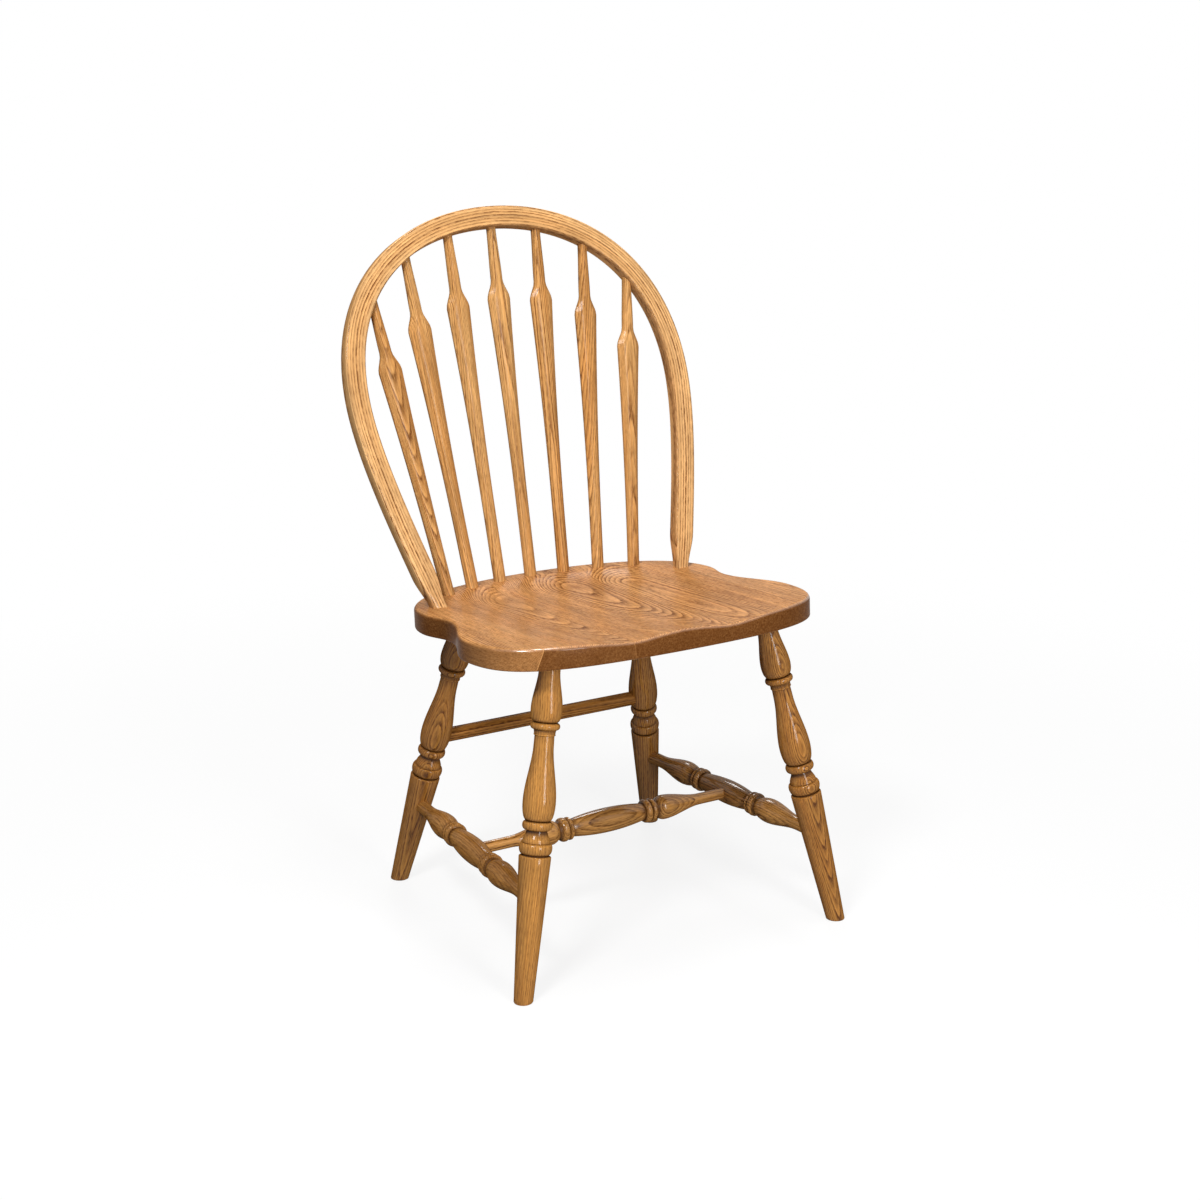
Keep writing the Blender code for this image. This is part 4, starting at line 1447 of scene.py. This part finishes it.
    def build(self) -> None:
        """Turn one leg of each row, copy it to both sides, cut it level at the floor and dress it."""
        finish = self.finish.material()
        for row in Row:
            foot, top = self.axis(row, Side.LEFT)
            master = self.profile((top - foot).length).spin("leg_master", self.sides)
            for side in Side:
                foot, top = self.axis(row, side)
                name = f"leg_{row.value}_{side.word}"
                leg = Bench.copy(master, name + "_oak")
                self.billets[name].stamp(leg)
                Bench.place(leg, aligned(top, top - foot))
                Bench.cut(leg, Vector((0, 0, 0)), Vector((0, 0, -1)))
                Bench.pick_edges(leg, lambda edge: all(abs(corner.co.z) < FINE for corner in edge.verts))
                bpy.ops.mesh.bevel(offset=self.foot_round, segments=self.foot_segments, affect="EDGES")
                bpy.ops.mesh.select_mode(type="VERT")
                Bench.done()
                Bench.smooth(leg, self.smooth_degrees)
                self.finish.dress(leg, finish)
            Bench.scrap(master)


@dataclass(frozen=True)
class Fit:
    """How the common turning is fitted to one stretcher.

    Attributes:
        longer: Added to the two halves of its barrel, from its start.
        shoulder: Length over which its vases swell.
        tight: Share of the usual length of its beads and grooves.
        shift: How far its turning moves from the middle towards its start.
        slimmer: Taken off the diameter of its plain ends.
    """

    longer: tuple[float, float]
    shoulder: float
    tight: float = 1.0
    shift: float = 0.0
    slimmer: float = 0.0


@dataclass
class Stretchers:
    """Two side stretchers, the centre one between them, and the plain rear one.

    Pairs are the length of a cut and the diameter at its end. Only shine_up is a start and the range of the
    blend from it.
    """

    legs: TurnedLegs
    front_z: float = 0.131
    rear_z: float = 0.123
    centre_y: float = -0.061
    centre_rise: float = 0.0016
    side_fit: Fit = Fit(longer=(-0.0008, 0.0055), shoulder=0.024, tight=0.86, shift=0.006)
    centre_fit: Fit = Fit(longer=(0.0060, 0.0060), shoulder=0.013, slimmer=0.0028)
    rear_height: float = 0.2285
    rear_width: float = 0.0210
    barrel: Station = (0.052, 0.0252)
    barrel_width: float = 0.0353
    inner_groove: Station = (0.0020, 0.0244)
    wide_bead: Station = (0.0106, 0.0346)
    quirk: Station = (0.0010, 0.0270)
    narrow_bead: Station = (0.0062, 0.0334)
    outer_groove: Station = (0.0040, 0.0246)
    vase_width: float = 0.0356
    taper: Station = (0.062, 0.0193)
    short: float = 0.004
    shine_up: Station = (0.20, 0.50)
    sides: int = 48
    smooth_degrees: float = 38.0
    finish: OakFinish = OakFinish("oak_stretcher", ring_gap=0.0042, wander=0.008, ring_strength=0.85,
                                  pale=(0.585, 0.285, 0.080), warm=(0.390, 0.164, 0.034),
                                  dark=(0.098, 0.032, 0.006), coat=0.09, coat_ior=1.8)
    sheen: dict[str, float] = field(default_factory=lambda: {
        "side_stretcher_left": 0.12, "side_stretcher_right": 0.36, "centre_stretcher": 0.50})
    billets: dict[str, Billet] = field(default_factory=lambda: {
        "side_stretcher_left": Billet(0.040, 200.0, 0.9, 0.010, 0.50, 0.55, 1.4),
        "side_stretcher_right": Billet(0.036, 20.0, 1.7, 0.015, 0.08, 0.8, 1.4),
        "centre_stretcher": Billet(0.034, 205.0, 2.3, 0.006, 0.12, 1.1, 1.8),
        "rear_stretcher": Billet(0.048, 120.0, 3.1, 0.010, 1.0, 1.1, 1.2)})

    def half(self, reach: float, fit: Fit, first_half: bool) -> Turning:
        """Half a turned stretcher, from its middle down to its plain end.

        Args:
            reach: Distance from the middle of the turning to that end.
            fit: How the turning is fitted to the stretcher.
            first_half: Whether this is the half at the start, with its narrow bead nearer the middle.

        Returns:
            The profile.
        """
        cut = Turning([(0.0, self.barrel_width)])
        cut.bulge(self.barrel[0] + fit.longer[0 if first_half else 1], self.barrel[1])
        first, second = self.wide_bead, self.narrow_bead
        if first_half:
            first, second = second, first
        for make, (length, width) in ((cut.straight, self.inner_groove), (cut.bead, first),
                                      (cut.straight, self.quirk), (cut.bead, second),
                                      (cut.straight, self.outer_groove)):
            make(length * fit.tight, width)
        plain = self.taper[1] - fit.slimmer
        cut.sweep(fit.shoulder, self.vase_width).swell(self.taper[0], plain)
        return cut.straight(reach + cut.stations[-1][0], plain)

    def turned(self, name: str, start: Vector, end: Vector, fit: Fit) -> Piece:
        """Turn a stretcher and put it between two axes.

        Args:
            name: Name of the piece.
            start: Point on the axis at its start.
            end: Point on the axis at its end.
            fit: How the turning is fitted to it.

        Returns:
            The stretcher in its place.
        """
        run = (end - start).normalized()
        reach = (end - start).length / 2 - self.short
        upper = self.half(reach - fit.shift, fit, True).stations
        lower = self.half(reach + fit.shift, fit, False).stations
        whole = Turning([(-height, width) for height, width in upper[:0:-1]] + lower)
        piece = whole.spin(name, self.sides)
        self.billets[name.removesuffix("_oak")].stamp(piece)
        Bench.place(piece, aligned((start + end) / 2 - run * fit.shift, -run))
        return piece

    def build(self) -> None:
        """Turn the four stretchers between their legs and dress them."""
        finish = self.finish.material()
        crossings = []
        made = []
        for side in Side:
            front = self.legs.on_axis(Row.FRONT, side, self.front_z)
            rear = self.legs.on_axis(Row.REAR, side, self.rear_z)
            made.append(self.turned(f"side_stretcher_{side.word}_oak", front, rear, self.side_fit))
            crossing = front.lerp(rear, (self.centre_y - front.y) / (rear.y - front.y))
            crossings.append(crossing + Vector((0, 0, self.centre_rise)))
        made.append(self.turned("centre_stretcher_oak", *crossings, self.centre_fit))
        ends = [self.legs.on_axis(Row.REAR, side, self.rear_height) for side in Side]
        reach = (ends[1] - ends[0]).length / 2 - self.short
        dowel = Turning([(reach, self.rear_width)]).straight(2 * reach, self.rear_width)
        rod = dowel.spin("rear_stretcher_oak", self.sides)
        self.billets["rear_stretcher"].stamp(rod)
        Bench.place(rod, aligned((ends[0] + ends[1]) / 2, ends[1] - ends[0]))
        made.append(rod)
        for piece in made:
            Bench.smooth(piece, self.smooth_degrees)
            shine = self.sheen.get(piece.name.removesuffix("_oak"), 0.0)
            Bench.mark(piece, Mark.SHEEN, lambda vertex: shine * past(vertex.normal.z, *self.shine_up))
            self.finish.dress(piece, finish)


@dataclass(frozen=True)
class SoftLight:
    """Soft box that faces the chair.

    Attributes:
        name: Name of the lamp.
        place: Where it hangs.
        power: Watts.
        width: Its width.
        height: Its height.
    """

    name: str
    place: tuple[float, float, float]
    power: float
    width: float
    height: float

    def hang(self, target: Vector) -> None:
        """Hang the lamp and turn it to the chair.

        Args:
            target: Point that it faces.
        """
        lamp = bpy.data.lights.new(self.name, "AREA")
        lamp.energy = self.power
        lamp.shape = "RECTANGLE"
        lamp.size = self.width
        lamp.size_y = self.height
        holder = bpy.data.objects.new(self.name, lamp)
        holder.location = self.place
        holder.rotation_euler = (target - Vector(self.place)).to_track_quat("-Z", "Y").to_euler()
        bpy.context.scene.collection.objects.link(holder)


@dataclass
class Studio:
    """Plain white studio: floor, surround, soft lamps and the camera of the photograph."""

    eye: tuple[float, float, float] = (-1.5080, -2.5828, 1.3404)
    azimuth: float = -30.70211
    elevation: float = 16.73006
    focal_pixels: float = 2209.365
    sight: float = 60.0
    floor_size: float = 24.0
    floor_colour: float = 0.24
    floor_shown: float = 0.90
    floor_white: float = 0.85
    floor_near: float = 0.5
    floor_far: float = 1.8
    ambient: float = 0.12
    target: tuple[float, float, float] = (0.0, 0.0, 0.45)
    lights: Sequence[SoftLight] = (
        SoftLight("key_box", (-1.64, -1.15, 2.68), 60.0, 0.6, 0.6),
        SoftLight("strip_box", (0.05, -2.70, 1.15), 54.0, 0.60, 1.9),
        SoftLight("top_box", (0.0, -0.1, 3.0), 27.0, 0.55, 0.55),
        SoftLight("back_box", (1.0, 1.8, 1.9), 12.0, 0.5, 0.5))

    def camera(self) -> None:
        """Set the camera where the photograph was taken from."""
        lens = bpy.data.cameras.new("photo_camera")
        lens.sensor_fit = "HORIZONTAL"
        lens.sensor_width = SENSOR
        lens.lens = self.focal_pixels / PHOTO_WIDTH * SENSOR
        lens.clip_end = self.sight
        holder = bpy.data.objects.new("photo_camera", lens)
        holder.location = self.eye
        holder.rotation_euler = (math.radians(90.0 - self.elevation), 0.0, math.radians(self.azimuth))
        bpy.context.scene.collection.objects.link(holder)
        bpy.context.scene.camera = holder

    @staticmethod
    def seen(desk: NodeBench) -> Socket:
        """Mask of the rays that should meet plain white: those from the camera and from gloss.

        Args:
            desk: Nodes of the material or world.

        Returns:
            The mask.
        """
        path = desk.add("ShaderNodeLightPath").outputs
        shiny = desk.math("MAXIMUM", path["Is Glossy Ray"], path["Is Transmission Ray"])
        return desk.math("MAXIMUM", path["Is Camera Ray"], shiny)

    def surround(self) -> None:
        """White surround, which lights the chair more softly than it shows."""
        world = bpy.data.worlds.new("white_surround")
        desk = NodeBench.of(world)
        strength = desk.math("MULTIPLY_ADD", self.seen(desk), 1.0 - self.ambient, self.ambient)
        glow = desk.add("ShaderNodeBackground", {"Color": WHITE, "Strength": strength})
        desk.add("ShaderNodeOutputWorld", {"Surface": glow.outputs["Background"]})
        bpy.context.scene.world = world

    def floor(self) -> None:
        """Pale floor that keeps the chair's shadow."""
        Bench.clear()
        bpy.ops.mesh.primitive_plane_add(size=self.floor_size, location=(0, 0, 0))
        piece = Bench.take("studio_floor")
        made = bpy.data.materials.new("pale_floor")
        desk = NodeBench.of(made)
        seen = self.seen(desk)
        grey, pale = ((level, level, level, 1.0) for level in (self.floor_colour, self.floor_shown))
        matt = desk.add("ShaderNodeBsdfDiffuse", {"Color": desk.mix(seen, grey, pale)}).outputs["BSDF"]
        white = desk.add("ShaderNodeEmission", {"Color": WHITE}).outputs["Emission"]
        away = desk.vector("LENGTH", desk.add("ShaderNodeTexCoord").outputs["Object"])
        share = desk.span(away, self.floor_near, self.floor_far, self.floor_white, 1.0)
        both = desk.add("ShaderNodeMixShader", {0: desk.math("MULTIPLY", seen, share), 1: matt, 2: white})
        desk.add("ShaderNodeOutputMaterial", {"Surface": both.outputs["Shader"]})
        piece.data.materials.append(made)

    def build(self) -> None:
        """Set up the studio."""
        bpy.context.scene.view_settings.view_transform = "Standard"
        self.camera()
        self.surround()
        self.floor()
        for light in self.lights:
            light.hang(Vector(self.target))


def main() -> None:
    """Build the chair's looks piece by piece."""
    logging.basicConfig(level=logging.INFO, format="%(name)s %(message)s")
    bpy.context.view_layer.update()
    Studio().build()
    seat = PlankSeat()
    bow = BentBow(seat)
    legs = TurnedLegs(seat)
    for assembly in (seat, bow, ArrowSpindles(seat, bow), legs, Stretchers(legs)):
        assembly.build()
        LOG.info("%s is built", type(assembly).__name__)


if __name__ == "__main__":
    main()
